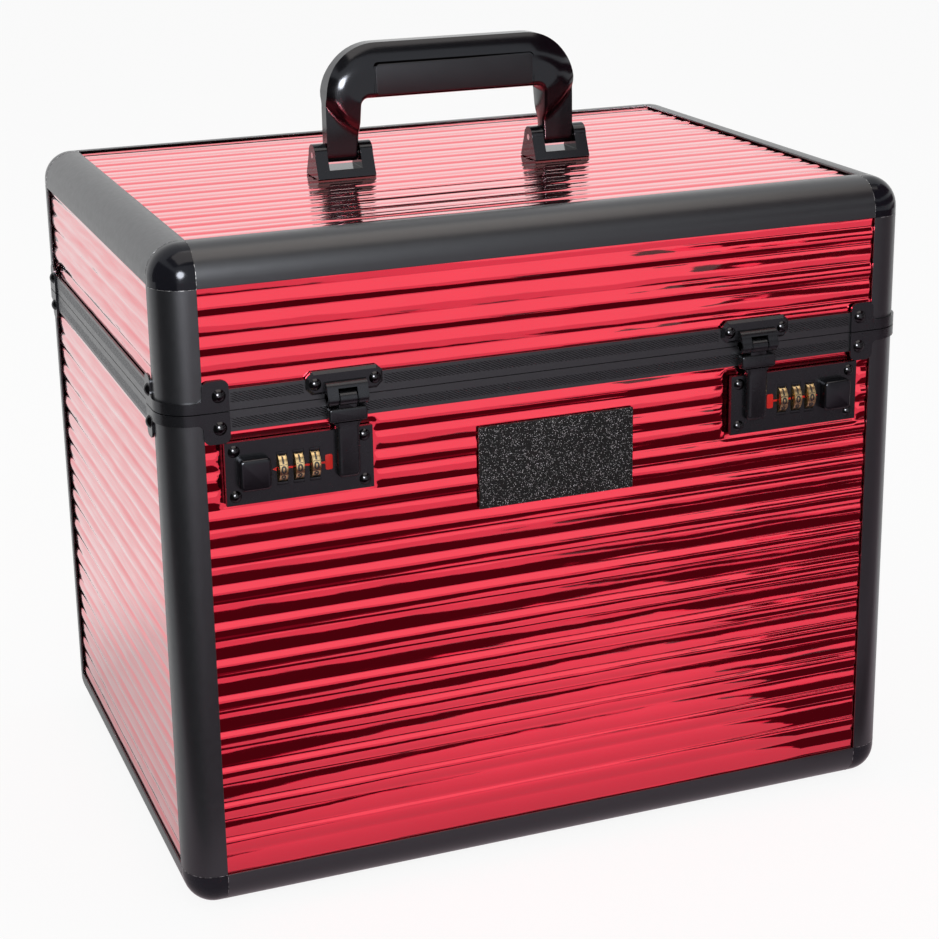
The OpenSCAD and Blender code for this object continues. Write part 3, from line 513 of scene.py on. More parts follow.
def pressed(along, across, rects):
    """How far the ribs are pressed flat at and round the rectangles, from 0 to 1."""
    weight = level(along, across)
    for rect in rects:
        far = np.hypot(*(np.maximum(0, out) for out in outside(along, across, rect)))
        t = np.clip((PRESS_SLOPE - far) / (PRESS_SLOPE - PRESS_FLAT), 0, 1)
        weight = np.maximum(weight, t * t * (3 - 2 * t))
    return weight


def waves(along, across, length, width, seed):
    """Smooth noise over a grid, from -1 to 1."""
    return np.array([[noise.noise((a / length, v / width, seed)) for v in across] for a in along])


def ribbed_panel(node, body, face, mid, presses=(), windows=()):
    """A ribbed foil in the place of a panel node, with the board behind it."""
    axes = FACE_AXES[face]
    ends = [span(node, axis) for axis in axes]
    columns = max(2, round((ends[0][1] - ends[0][0]) / COLUMN))
    along = list(np.linspace(*ends[0], columns + 1))
    across = rib_lines(*ends[1], mid)
    for rect in presses:
        beside(along, across, rect, np.linspace(PRESS_FLAT, PRESS_SLOPE, PRESS_STEPS))

    def depth(along, across):
        wave = waves(along, across, RIPPLE_ALONG, RIPPLE_ACROSS, len(node))
        weight = pressed(along, across, presses)
        ribs = rib_depth(across - mid)[None, :] + RIPPLE * (1 + wave)
        return ribs * (1 - weight) + (RIB_VALLEY + PRESS_SINK) * weight

    verts, faces = grid_sheet(ends, along, across, depth, windows, FOIL_T)
    obj = add_piece("foil_" + node, verts @ axes, faces, body, "red_panel", [node], sharp=62.0)
    for name, vectors in (("rib", verts * MM), ("along", np.tile(axes[0], len(verts)))):
        attribute = obj.data.attributes.new(name, "FLOAT_VECTOR", "POINT")
        attribute.data.foreach_set("vector", vectors.astype(np.float32).ravel())
    board_ends = [*ends[:2], (ends[2][0], ends[2][1] - BOARD_SINK)]
    board, faces = grid_sheet(board_ends, list(ends[0]), list(ends[1]), level, windows)
    add_piece("board_" + node, board @ axes, faces, body, "base_board")


def grid_sheet(ends, along, across, depth, windows=(), thick=None):
    """A closed sheet over a grid, as (along, across, out), with its face sunk by a depth.

    Its back is flat, or follows its face at a thickness if that is given.
    """
    for rect in windows:
        along = along + list(rect[:2])
        across = across + list(rect[2:])
    along = spaced(a for a in along if ends[0][0] <= a <= ends[0][1])
    across = spaced(v for v in across if ends[1][0] <= v <= ends[1][1])
    sunk = depth(along, across)
    grid_a, grid_v = np.meshgrid(along, across, indexing="ij")
    face = ends[2][1] - sunk
    rear = face - thick if thick else np.full_like(sunk, ends[2][0])
    layers = [np.stack([grid_a, grid_v, out], axis=-1).reshape(-1, 3) for out in (face, rear)]
    verts = np.concatenate(layers)
    mid_a = (along[1:] + along[:-1]) / 2
    mid_v = (across[1:] + across[:-1]) / 2
    kept = np.ones((len(mid_a), len(mid_v)), bool)
    for rect in windows:
        kept &= np.maximum(*outside(mid_a, mid_v, rect)) >= 0
    faces = panel_faces(kept, len(across), sunk.size)
    used = np.unique(np.ravel(faces))
    renumber = np.zeros(len(verts), int)
    renumber[used] = np.arange(len(used))
    return verts[used], renumber[np.array(faces)].tolist()


def panel_faces(kept, n_across, back):
    """Front, back and edge faces of the kept cells of a panel's grid."""
    faces = []
    padded = np.pad(kept, 1)
    for i, j in np.argwhere(kept):
        a = i * n_across + j
        b, c, d = a + n_across, a + n_across + 1, a + 1
        faces.append([a, b, c, d])
        faces.append([back + d, back + c, back + b, back + a])
        for di, dj, p, q in ((0, 1, d, a), (2, 1, b, c), (1, 0, a, b), (1, 2, c, d)):
            if not padded[i + di, j + dj]:
                faces.append([p, back + p, back + q, q])
    return faces


def lock_rect(side, rect):
    """A rectangle given from a lock's centre, on the left or right lock."""
    x = sorted([side * (LOCK_X + rect[0]), side * (LOCK_X + rect[1])])
    return [*x, LOCK_Z + rect[2], LOCK_Z + rect[3]]


plate_rects = [
    [*span(plate, (1, 0, 0)), *span(plate, (0, 0, 1))]
    for plate in ("lock_plate_left", "lock_plate_right")
]
around_locks = (plate_rects, [lock_rect(side, LOCK_WINDOW) for side in (-1, 1)])
for part_name, panel_body, rib_mids in PANELS:
    for panel_face, rib_mid in zip(UPRIGHT, rib_mids):
        panel = f"{part_name}_{panel_face}_panel"
        shape = around_locks if panel == "body_front_panel" else ()
        ribbed_panel(panel, panel_body, panel_face, PARTING_Z + rib_mid, *shape)
ribbed_panel("lid_top_panel", "lid", "top", TOP_RIB)


# CAD nodes that keep their shape: slot, how far their sharp edges are rounded, nodes
KEPT_NODES = (
    ("black_frame", 0.2, "body_posts bottom_rails lid_posts top_rails"),
    ("black_frame", 0.3, "body_rims lid_rims"),
    ("black_cap", 0, "bottom_corner_caps top_corner_caps"),
    ("black_sheet", 0.35, "body_brackets lid_brackets"),
    ("black_sheet", 0.45, "lock_plate_left lock_plate_right"),
    ("black_sheet", 0.3, "hinge_body_leaves hinge_lid_leaves"),
    ("black_rivet", 0, "body_bracket_rivets lid_bracket_rivets hinge_body_rivets"),
    ("black_rivet", 0, "hinge_lid_rivets hasp_bracket_rivets lock_rivets"),
    ("handle_plastic", 0.9, "handle_base_left handle_base_right"),
    ("steel", 0, "handle_pins hasp_pins hinge_pins lock_axles"),
    ("steel", 0.4, "handle_screws"),
    ("inner_plastic", 0.4, "lock_boxes"),
    ("inner_plastic", 0.6, "tray_ledges"),
    ("tray_plastic", 0.7, "tray"),
    ("base_board", 0.3, "floor_panel"),
    ("glitter_plate", 0.4, "name_plate"),
)
SHARP_EDGE = math.radians(40)
FLAT_EDGE = math.radians(0.8)
WELD = 0.002


def softened(node, slot, width):
    """A copy of a CAD node with its sharp edges rounded, standing for the node."""
    source = frame["nodes"][node]
    bm = bmesh.new()
    bm.from_mesh(source.data)
    bmesh.ops.remove_doubles(bm, verts=bm.verts, dist=WELD * MM)
    bmesh.ops.dissolve_limit(
        bm, angle_limit=FLAT_EDGE, verts=bm.verts, edges=bm.edges, delimit={"NORMAL"}
    )
    sharp = [e for e in bm.edges if e.is_manifold and e.calc_face_angle() > SHARP_EDGE]
    bmesh.ops.bevel(
        bm, geom=sharp, offset=width * MM, segments=2, profile=0.5, affect="EDGES",
        clamp_overlap=True,
    )
    mesh = bpy.data.meshes.new("soft_" + node)
    bm.to_mesh(mesh)
    bm.free()
    mesh.shade_smooth()
    obj = settle(mesh, source["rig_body"], slot, [node])
    obj.modifiers.new("flat_faces", "WEIGHTED_NORMAL").weight = 80


for slot_name, edge_width, nodes in KEPT_NODES:
    for node_name in nodes.split():
        if edge_width:
            softened(node_name, slot_name, edge_width)
        else:
            dress(frame["nodes"][node_name], slot_name)


# Handle: sections from the hand gap to the outside, from one pivot to the other
PIVOT_Z = 352.4
HANDLE_HALF = 71.5
HANDLE_TOP = 411.0
HANDLE_R = 28.0
GAP_HALF = 52.7
GAP_TOP = 382.0
GAP_R = 4.0
LEG_X = 62.75
LEG_W = 17.4
LEG_END_R = 4.5
GRIP_RIM = 0.42
LEG_RIM = 0.86
CROWN_START = -0.1
INNER_EDGE = 0.16
INNER_RIM = 0.72
# Half the leg's depth at heights above the pivot, and how much higher the same depth lies outside
LEG_FLARE = ((9.5, 4.5), (11.0, 5.2), (14.0, 7.6), (17.0, 8.9), (28.0, 10.0))
FLARE_LAG = 17.0
LAG_POWER = 1.5
LEAST_DEPTH = 0.2
# Heights above the pivot between which the outer rim thins from the leg's to the grip's
RIM_RISE = (24.0, 48.0)
END_STEPS = 6
LEG_STEPS = 24
BEND_STEPS = 16
TOP_STEPS = 6
PAD_W = 90.0
PAD_H = 16.5
PAD_Z = 391.75
PAD_R = 2.5
PAD_ROOT = -0.3
PAD_OUT = 0.42
PAD_EDGE = 0.3
# Margin, rise and edge of a flat black plate under each pad: painted shade in the groove round it
GROOVE_W = 1.1
GROOVE_OUT = 0.12
GROOVE_EDGE = 0.02


def crown(p, rim):
    """Share of the depth at a place across a section, from -1 at the gap to 1 outside."""
    outer = max(0, (p - CROWN_START) / (1 - CROWN_START))
    inner = max(0, (INNER_EDGE - 1 - p) / INNER_EDGE)
    return 1 - (1 - rim) * outer**2 - (1 - INNER_RIM) * inner**2


def half_depth(p, z):
    """Half the handle's depth across a section: round at the pivot, thin between the ears."""
    up = z - PIVOT_Z
    if up < 0:
        depth = math.sqrt(max(LEAST_DEPTH**2, LEG_END_R**2 - up**2))
    else:
        lag = FLARE_LAG * ((1 + p) / 2) ** LAG_POWER
        depth = float(np.interp(up - lag, *zip(*LEG_FLARE)))
    return depth * crown(p, float(np.interp(up, RIM_RISE, (LEG_RIM, GRIP_RIM))))


def section_loop(inner, outer, steps=28):
    """A crowned section from a point on the gap to one on the outside."""
    places = [math.cos(math.pi * k / steps) for k in range(steps + 1)]
    middle, reach = (inner + outer) / 2, (outer - inner) / 2
    front = [(*(middle + reach * p), half_depth(p, middle[1] + reach[1] * p)) for p in places]
    return [(x, q, z) for x, z, q in front] + [(x, -q, z) for x, z, q in reversed(front)]


def grip_surface(z):
    """Half the depth of the straight grip at a height."""
    half = (HANDLE_TOP - GAP_TOP) / 2
    return half_depth((z - GAP_TOP - half) / half, z)


def handle_pairs():
    """Pairs of points on the gap and on the outside, from the right pivot to the middle."""
    foot = np.array([(LEG_X - LEG_W / 2, PIVOT_Z), (LEG_X + LEG_W / 2, PIVOT_Z)])
    shoulder = np.array([(GAP_HALF, GAP_TOP - GAP_R), (HANDLE_HALF, HANDLE_TOP - HANDLE_R)])
    drops = LEG_END_R * np.cos(np.linspace(0, math.pi / 2, END_STEPS + 1))
    pairs = [foot - (0, drop) for drop in drops]
    pairs += [foot * (1 - t) + shoulder * t for t in np.linspace(0, 1, LEG_STEPS + 1)[1:]]
    bends = [
        arc((x - radius, z), radius, 0, 90, BEND_STEPS)
        for (x, z), radius in zip(shoulder, (GAP_R, HANDLE_R))
    ]
    pairs += [np.array(pair) for pair in zip(*bends)][1:]
    top = pairs[-1]
    return pairs + [top * (t, 1) for t in np.linspace(1, 0, TOP_STEPS + 1)[1:]]


def handle_mesh():
    right = handle_pairs()
    left = [pair * (-1, 1) for pair in reversed(right[:-1])]
    loops = [section_loop(*pair) for pair in right + left]
    return [point for loop in loops for point in loop], capped(len(loops), len(loops[0]))


add_piece("handle_loop", *handle_mesh(), "handle", "handle_plastic", ["handle_grip"], sharp=32.0)


def grip_patch(margin, out, edge):
    """Plates that follow the grip's surface on both sides, a margin larger than a pad."""
    outline = rounded_rect(PAD_W + 2 * margin, PAD_H + 2 * margin, PAD_R, steps=8)
    verts, faces = pillow(outline, PAD_ROOT, out, edge)
    sides = []
    for side in (1, -1):
        placed = [(u, -side * (out + grip_surface(v + PAD_Z)), v + PAD_Z) for u, v, out in verts]
        sides.append((placed, faces if side > 0 else [face[::-1] for face in faces]))
    return joined(sides)


# The groove round each pad is a black plate a margin larger than the pad: painted shade
groove_shade = grip_patch(GROOVE_W, GROOVE_OUT, GROOVE_EDGE)
add_piece("pad_groove_shade", *groove_shade, "handle", "handle_plastic", finish="gap_black")
pads = grip_patch(0, PAD_OUT, PAD_EDGE)
add_piece("grip_pads", *pads, "handle", "grip_pad", ["handle_pads"])


# Hasps: a barrel, a proud head with hollow shoulders below it, and a rounded arm
HASP_AXIS = (4.2, 263.0)
HASP_BARREL_R = 3.5
HASP_BACK = 1.8
HASP_FRONT = 5.6
HASP_HEAD_FRONT = 6.4
HASP_ARM = 5.75
HASP_HEAD = 9.75
HASP_HEAD_TOP = 258.4
HASP_HEAD_LOW = 251.4
HASP_LOW = 223.0
HASP_MID = 4.65
HASP_END_R = 2.5
HASP_LAP = 1.5
HASP_TUCK = 0.9


def tube(radius, x0, x1, out, z, steps=32, edge=0.5):
    """A round bar along the case's width, as (across, up, out)."""
    rings = [(x0, radius - edge), (x0 + edge, radius), (x1 - edge, radius), (x1, radius - edge)]
    verts = []
    for x, r in rings:
        verts += [(x, z + dz, out + dy) for dy, dz in arc((0, 0), r, 0, 360, steps)[:-1]]
    return verts, capped(len(rings), steps)


def hasp_parts():
    shoulder = HASP_HEAD - HASP_ARM
    right = (
        arc((HASP_ARM - HASP_END_R, HASP_LOW + HASP_END_R), HASP_END_R, 270, 360, 6)
        + arc((HASP_HEAD, HASP_HEAD_LOW - shoulder), shoulder, 180, 100, 8)
        + [(HASP_HEAD - HASP_TUCK, HASP_HEAD_LOW + HASP_LAP)]
    )
    arm = right + [(-u, v) for u, v in reversed(right)]
    tongue_low = HASP_HEAD_TOP - HASP_LAP
    head = rounded_rect(2 * HASP_HEAD, HASP_HEAD_TOP - HASP_HEAD_LOW, radius=1.4)
    head_plate = pillow(head, HASP_BACK, HASP_HEAD_FRONT, edge=1.1)
    tongue = rounded_rect(2 * HASP_MID, HASP_AXIS[1] - tongue_low, radius=0.4)
    tongue_plate = pillow(tongue, HASP_BACK, HASP_FRONT, edge=0.5)
    return joined(
        [
            pillow(arm, HASP_BACK, HASP_FRONT, edge=1.9),
            moved(head_plate, 0, (HASP_HEAD_TOP + HASP_HEAD_LOW) / 2),
            moved(tongue_plate, 0, (HASP_AXIS[1] + tongue_low) / 2),
            tube(HASP_BARREL_R, -HASP_MID, HASP_MID, *HASP_AXIS),
        ]
    )


for name, side in SIDES:
    hasp = on_front(hasp_parts(), HASP_X, 0, side)
    add_piece(f"hasp_arm_{name}", *hasp, f"hasp_{name}", "black_sheet", [f"hasp_{name}"])


# Hasp brackets: a bevelled plate, a bent-over roll with two knuckles, and a black plate that paints
# the shade in the gap between them
BRACKET_LOW = 265.2
BRACKET_HIGH = 276.8
BRACKET_CUT = 3.0
BRACKET_OUT = 2.3
BRACKET_BEVEL = 1.4
GAP_OUT = BRACKET_OUT + 0.06
KNUCKLE_ENDS = (4.8, 10.25)
ROLL_LOW = 268.4
# Sections as (out, up): the bend over the whole width and the knuckles' roots below it
BEND = (
    (0, ROLL_LOW), (5.9, ROLL_LOW), (5.5, 269.5), (4.6, 270.5), (3.4, 271.2), (2.2, 271.5),
    (0, 271.5),
)
ROOT = (
    (0, 263.0), (7.6, 263.0), (7.3, 264.6), (6.7, 266.2), (6.2, 267.4), (5.9, ROLL_LOW),
    (0, ROLL_LOW),
)


def bar(section, x0, x1):
    """A straight bar, as (across, up, out), from its (out, up) section."""
    return [(x, up, out) for x in (x0, x1) for out, up in section], capped(2, len(section))


def octagon(width, height, cut):
    """A rectangle about the origin with cut corners, anticlockwise."""
    x, y = width / 2, height / 2
    right = [(x - cut, -y), (x, cut - y), (x, y - cut), (x - cut, y)]
    return right + [(-u, -v) for u, v in right]


def bracket_parts():
    """The plate with its roll and knuckles, and a black plate painted as the shade in the gap
    between them.
    """
    middle = (BRACKET_LOW + BRACKET_HIGH) / 2
    outline = octagon(HASP_BRACKET_W, BRACKET_HIGH - BRACKET_LOW, BRACKET_CUT)
    start, end = KNUCKLE_ENDS
    metal = [
        moved(pillow(outline, 0, BRACKET_OUT, BRACKET_BEVEL, steps=1), 0, middle),
        bar(BEND, -end, end),
    ]
    for side in (-1, 1):
        ends = sorted((side * start, side * end))
        metal += [bar(ROOT, *ends), tube(HASP_BARREL_R, *ends, *HASP_AXIS)]
    # Black plate over the hollow between the knuckles: painted shade in the gap
    hollow = rounded_rect(2 * start, ROLL_LOW - HASP_AXIS[1], radius=0.2)
    gap = moved(pillow(hollow, 0, GAP_OUT, edge=0.02), 0, (ROLL_LOW + HASP_AXIS[1]) / 2)
    return joined(metal), gap


for name, side in SIDES:
    metal_parts, gap_shade_plate = (on_front(part, HASP_X, 0, side) for part in bracket_parts())
    node = f"hasp_bracket_{name}"
    add_piece(f"bracket_{name}", *metal_parts, "lid", "black_sheet", [node], sharp=30.0)
    # The gap between the knuckles is a black plate: painted shade
    add_piece(f"bracket_gap_shades_{name}", *gap_shade_plate, "lid", "black_sheet", finish="gap_black")


# Locks: soft square buttons, red index marks and the lips of the wheels' windows
BUTTON_X = 23.4
BUTTON_SIZE = (15.6, 15.8)
BUTTON_R = 2.4
BUTTON_OUT = (1.65, 7.05)
BUTTON_EDGE = 1.5
INDEX_T = 0.25
INDEX_LINE = 1.0
INDEX_BOX = (-16.2, 3.7, 7.7)
INDEX_TIP = 14.0
TIP_HALF = 0.05
LINE_GAP = 0.15
LINE_LAP = 0.3
WINDOW_CLEAR = 0.4
WINDOW_HALF = WHEEL_W / 2 + WINDOW_CLEAR
WHEEL_MIDS = [WHEEL_MID + i * WHEEL_PITCH for i in (-1, 0, 1)]
LIP_IN = 6.95
LIP_OUT = 8.4
LIP_T = 0.3
LIP_LAP = 0.2


def on_locks(part):
    """A part drawn about a lock's centre, on both locks."""
    return joined([on_front(part, LOCK_X, LOCK_Z, side) for side in (-1, 1)])


def flat_mark(outline):
    return pillow(outline, LOCK_OUT, LOCK_OUT + INDEX_T, edge=0.08, steps=2)


def index_bar(x0, x1):
    line = flat_mark(rounded_rect(x1 - x0, INDEX_LINE, radius=0.12, steps=2))
    return moved(line, (x0 + x1) / 2, 0)


def index_parts():
    box_x, box_w, box_h = INDEX_BOX
    box = moved(flat_mark(rounded_rect(box_w, box_h, radius=0.9)), box_x + box_w / 2, 0)
    reach = WINDOW_HALF + LINE_GAP
    bars = [index_bar(box_x + box_w - LINE_LAP, WHEEL_MIDS[0] - reach)]
    bars += [index_bar(a + reach, b - reach) for a, b in zip(WHEEL_MIDS, WHEEL_MIDS[1:])]
    last = WHEEL_MIDS[2] + reach
    upper = [(INDEX_TIP, TIP_HALF), (last, INDEX_LINE)]
    tip = flat_mark([(u, -v) for u, v in reversed(upper)] + upper)
    return joined([box, *bars, tip])


def window_lips():
    """Thin lips that close each wheel's window above and below the wheel."""
    height = LIP_OUT - LIP_IN
    outline = rounded_rect(2 * (WINDOW_HALF + LIP_LAP), height, radius=0.1, steps=1)
    lip = pillow(outline, LOCK_OUT - LIP_T, LOCK_OUT, edge=0.02)
    return joined([moved(lip, x, s * (LIP_IN + height / 2)) for x in WHEEL_MIDS for s in (-1, 1)])


add_piece("index_marks", *on_locks(index_parts()), "case", "red_mark", ["lock_index"])
button = pillow(rounded_rect(*BUTTON_SIZE, BUTTON_R), *BUTTON_OUT, BUTTON_EDGE, steps=6)
for name, side in SIDES:
    node = f"{name}_button"
    cap = on_front(moved(button, BUTTON_X, 0), LOCK_X, LOCK_Z, side)
    add_piece(f"button_cap_{name}", *cap, node, "button_plastic", [node])
add_piece("window_lips", *on_locks(window_lips()), "case", "black_sheet")

# Number wheels
DIGITS = 10
DIGIT_H = 4.0
DIGIT_W = 3.0
DIGIT_CUTS = 8
DIGIT_BOLD = 0.035
BAND_SINK = 0.22
BAND_R = WHEEL_R - BAND_SINK
RIM_W = 0.4
RIM_SLOPE = 0.12
# Chamfer of the wheel's edges, across and inwards
RIM_CUT = (0.2, 0.25)
BORE_R = 1.55
MARK_R = BAND_R + 0.04
CELL_LINE = 0.16


def glyph(text):
    """Flat mesh of a plain numeral about the origin, as points in millimetres and faces."""
    curve = bpy.data.curves.new("glyph", "FONT")
    curve.body = text
    curve.offset = DIGIT_BOLD
    holder = linked("glyph", curve)
    mesh = bpy.data.meshes.new_from_object(
        holder.evaluated_get(bpy.context.evaluated_depsgraph_get())
    )
    bpy.data.objects.remove(holder)
    bm = bmesh.new()
    bm.from_mesh(mesh)
    bpy.data.meshes.remove(mesh)
    points = np.array([v.co for v in bm.verts])
    low, high = points.min(0), points.max(0)
    scale_y = DIGIT_H / (high[1] - low[1])
    scale_x = min(scale_y, DIGIT_W / (high[0] - low[0]))
    for vert in bm.verts:
        vert.co.x = (vert.co.x - (low[0] + high[0]) / 2) * scale_x
        vert.co.y = (vert.co.y - (low[1] + high[1]) / 2) * scale_y
    for k in range(1, DIGIT_CUTS):
        cut = (0, DIGIT_H * (k / DIGIT_CUTS - 0.5), 0)
        everything = bm.verts[:] + bm.edges[:] + bm.faces[:]
        bmesh.ops.bisect_plane(bm, geom=everything, plane_co=cut, plane_no=(0, 1, 0))
    bmesh.ops.triangulate(bm, faces=bm.faces)
    bm.verts.index_update()
    flat = [(v.co.x, v.co.y) for v in bm.verts], [[v.index for v in f.verts] for f in bm.faces]
    bm.free()
    return flat


GLYPHS = [glyph(str(d)) for d in range(DIGITS)]


def wrapped(u, v, turn, radius, centre):
    """A flat point laid on a wheel, turn being the angle of its cell above the front."""
    angle = turn + v / radius
    x, y, z = centre
    return x + u, y - radius * math.cos(angle), z + radius * math.sin(angle)


def wheel_body(centre, steps=80):
    """A turned brass wheel with two narrow rims."""
    half = WHEEL_W / 2
    right = [
        (half - RIM_W - RIM_SLOPE, BAND_R), (half - RIM_W, WHEEL_R), (half - RIM_CUT[0], WHEEL_R),
        (half, WHEEL_R - RIM_CUT[1]), (half, BORE_R),
    ]
    profile = [(-u, r) for u, r in reversed(right)] + right
    turns = [math.tau * i / steps for i in range(steps)]
    verts = [wrapped(u, 0, turn, r, centre) for u, r in profile for turn in turns]
    faces = []
    for row in range(len(profile)):
        faces += strip(row * steps, (row + 1) % len(profile) * steps, steps)
    return verts, faces


def wheel_marks(centre):
    """Enamelled numerals and the lines between their cells."""
    half = WHEEL_W / 2 - RIM_W - LINE_GAP
    line = [(u, v) for v in (-CELL_LINE, CELL_LINE) for u in (-half, half)]
    parts = []
    for digit, (points, faces) in enumerate(GLYPHS):
        turn = math.tau * digit / DIGITS
        edge = turn + math.pi / DIGITS
        parts.append(([wrapped(u, v, turn, MARK_R, centre) for u, v in points], faces))
        parts.append(([wrapped(u, v, edge, MARK_R, centre) for u, v in line], [[0, 1, 3, 2]]))
    return joined(parts)


for node in [f"{name}_wheel_{number}" for name in ("left", "right") for number in (1, 2, 3)]:
    low_corner, high_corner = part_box(node)
    middle_point = (low_corner + high_corner) / 2 / MM
    add_piece(f"turned_{node}", *wheel_body(middle_point), node, "brass", [node], sharp=50.0)
    add_piece(f"numerals_{node}", *wheel_marks(middle_point), node, "brass", finish="enamel")


# Knurled bands on the rims, clear of the brackets, hasps and hinges: their heights by body
KNURL_PITCH = 2.3
KNURL_RISE = math.tan(math.radians(28))
KNURL_WIDTH = 1.2
KNURL_HEIGHT = {"front": 0.3, "rear": 0.3, "left": 0.08, "right": 0.08}
KNURL_BANDS = {"lid": (266.3, 271.3), "case": (253.9, 258.6)}
KNURL_LEAST = 0.1
BRACKET_CLEAR = 0.5
HARDWARE_CLEAR = 0.4


def free_runs(reach, blocks):
    """Runs between -reach and reach that stay clear of the blocked (middle, half) places."""
    runs, start = [], -reach
    for middle, half in sorted(blocks):
        runs.append((start, middle - half))
        start = middle + half
    return runs + [(start, reach)]


def knurl(face, distance, low, high, runs):
    """Slanting ridges over the runs of one band, on a face at that distance."""
    along, across, out = FACE_AXES[face]
    lean = (high - low) / KNURL_RISE
    verts, faces = [], []
    margin = KNURL_WIDTH / 2
    for start, end in runs:
        for place in np.arange(start - lean, end, KNURL_PITCH):
            t0 = max(0, (start + margin - place) / lean)
            t1 = min(1, (end - margin - place) / lean)
            if t1 - t0 < KNURL_LEAST:
                continue
            first = len(verts)
            for t in (t0, t1):
                for step, rise in ((-0.5, 0), (0, KNURL_HEIGHT[face]), (0.5, 0)):
                    u = place + t * lean + step * KNURL_WIDTH
                    z = high - t * (high - low)
                    verts.append(along * u + across * z + out * (distance + rise))
            a, b, c, d, e, f = range(first, first + 6)
            faces += [[a, d, e, b], [b, e, f, c], [a, b, c], [d, f, e]]
    return verts, faces


front_reach = HALF_W - BRACKET_FRONT - BRACKET_CLEAR
side_reach = HALF_D - BRACKET_SIDE - BRACKET_CLEAR
hasps, hinges = (
    [(side * x, width / 2 + HARDWARE_CLEAR) for side in (-1, 1)]
    for x, width in ((HASP_X, HASP_BRACKET_W), (HINGE_X, HINGE_W))
)
for band_body, band in KNURL_BANDS.items():
    in_front = hasps if band_body == "lid" else []
    ridges = joined(
        [
            knurl("front", HALF_D, *band, free_runs(front_reach, in_front)),
            knurl("rear", HALF_D, *band, free_runs(front_reach, hinges)),
            knurl("left", HALF_W, *band, free_runs(side_reach, [])),
            knurl("right", HALF_W, *band, free_runs(side_reach, [])),
        ]
    )
    add_piece(f"knurl_{band_body}", *ridges, band_body, "black_frame", sharp=20.0, finish="knurl")


# Bright seams where the ball corners meet the frame
SEAM_W = 0.16
SEAM_PROUD = 0.04


def seam_outline(proud):
    """Outside of the frame's section, from one leg's end to the other."""
    bend = arc((FRAME_R, FRAME_R), FRAME_R + proud, 270, 180, 20)
    return [(FRAME_LEG, -proud), *bend, (-proud, FRAME_LEG)]


def seam(axis, corner):
    """A thin strip round one of a corner's three joints; corner gives its signs."""
    others = [k for k in range(3) if k != axis]
    size = np.array([2 * HALF_W, 2 * HALF_D, CASE_TOP])
    verts = []
    for proud in (0, SEAM_PROUD):
        for edge in (-SEAM_W / 2, SEAM_W / 2):
            for pair in seam_outline(proud):
                point = np.full(3, FRAME_LEG + edge)
                point[others] = pair
                placed = np.where(np.array(corner) > 0, size - point, point)
                verts.append(placed - (HALF_W, HALF_D, 0))
    count = len(verts) // 4
    faces = []
    for i in range(count - 1):
        a, b, c, d = (k * count + i for k in range(4))
        faces += [[c, d, d + 1, c + 1], [a, c, c + 1, a + 1], [d, b, b + 1, d + 1]]
    return verts, faces


for seam_body, top in (("case", -1), ("lid", 1)):
    corners = [(sx, sy, top) for sx in (-1, 1) for sy in (-1, 1)]
    strips = joined([seam(axis, corner) for corner in corners for axis in range(3)])
    add_piece(f"cap_seams_{seam_body}", *strips, seam_body, "steel", finish="spotted_seam")


# Foam: soft-edged sheets on the inside of the walls
FOAM_CELL = 6.0
FOAM_EDGE = 1.2
FOAM_UNEVEN = 0.12
FOAM_WAVE = 30
FOAM_SEED = 5
FOAM_STEPS = np.array((0.25, 0.7, FOAM_EDGE))
SCREW_HOLE = 4.6
LINING_CLEAR = 0.5
LINING_ENDS = ((-LINING_X, LINING_X), (-LINING_Y, LINING_Y))


def foam_sheet(face, ends, windows=()):
    """A sheet facing inwards, rounded off at its edges and at its windows."""
    rim = (*ends[0], *ends[1])
    grid = [list(np.linspace(*e, max(2, round((e[1] - e[0]) / FOAM_CELL)))) for e in ends[:2]]
    beside(*grid, rim, -FOAM_STEPS)
    for rect in windows:
        beside(*grid, rect, FOAM_STEPS)

    def depth(along, across):
        to_edge = -np.maximum(*outside(along, across, rim))
        for rect in windows:
            to_edge = np.minimum(to_edge, np.maximum(0, np.maximum(*outside(along, across, rect))))
        near = np.clip(1 - to_edge / FOAM_EDGE, 0, 1)
        sag = waves(along, across, FOAM_WAVE, FOAM_WAVE, FOAM_SEED)
        return FOAM_EDGE * (1 - np.sqrt(1 - near**2)) + FOAM_UNEVEN * (1 + sag)

    verts, faces = grid_sheet(ends, *grid, depth, windows)
    return (verts @ FACE_AXES[face]).tolist(), faces


def wall_sheets(node, low, high, front_windows=()):
    """The four upright sheets of a lining."""
    wide, deep = LINING_ENDS
    windows = [(-b, -a, c, d) for a, b, c, d in front_windows]
    sheets = []
    for face, ends in (("rear", wide), ("front", wide), ("right", deep), ("left", deep)):
        back = span(node, FACE_AXES[face][2])[0]
        wall = (ends, (low, high), (back, back + LINING_T))
        sheets.append(foam_sheet(face, wall, windows if face == "rear" else ()))
    return sheets


def add_foam(name, parts, body, node):
    piece = add_piece(name, *joined(parts), body, "foam", [node], sharp=70.0)


lock_windows = [lock_rect(side, LINING_WINDOW) for side in (-1, 1)]
body_walls = wall_sheets("body_lining", *span("body_lining", (0, 0, 1)), lock_windows)
add_foam("foam_walls", body_walls, "case", "body_lining")
floor_sheet = foam_sheet("top", (*LINING_ENDS, span("floor_mat", (0, 0, 1))))
add_foam("foam_floor", [floor_sheet], "case", "floor_mat")
lid_low, lid_high = span("lid_lining", (0, 0, 1))
screw_windows = [
    (x - SCREW_HOLE, x + SCREW_HOLE, y - SCREW_HOLE, y + SCREW_HOLE)
    for x in (-SCREW_X, SCREW_X) for y in (-SCREW_Y, SCREW_Y)
]
lid_parts = wall_sheets("lid_lining", lid_low, CASE_TOP - FRAME_LEG - LINING_CLEAR)
lid_ends = (*LINING_ENDS, (-lid_high, LINING_T - lid_high))
lid_parts.append(foam_sheet("bottom", lid_ends, screw_windows))
add_foam("foam_lid", lid_parts, "lid", "lid_lining")


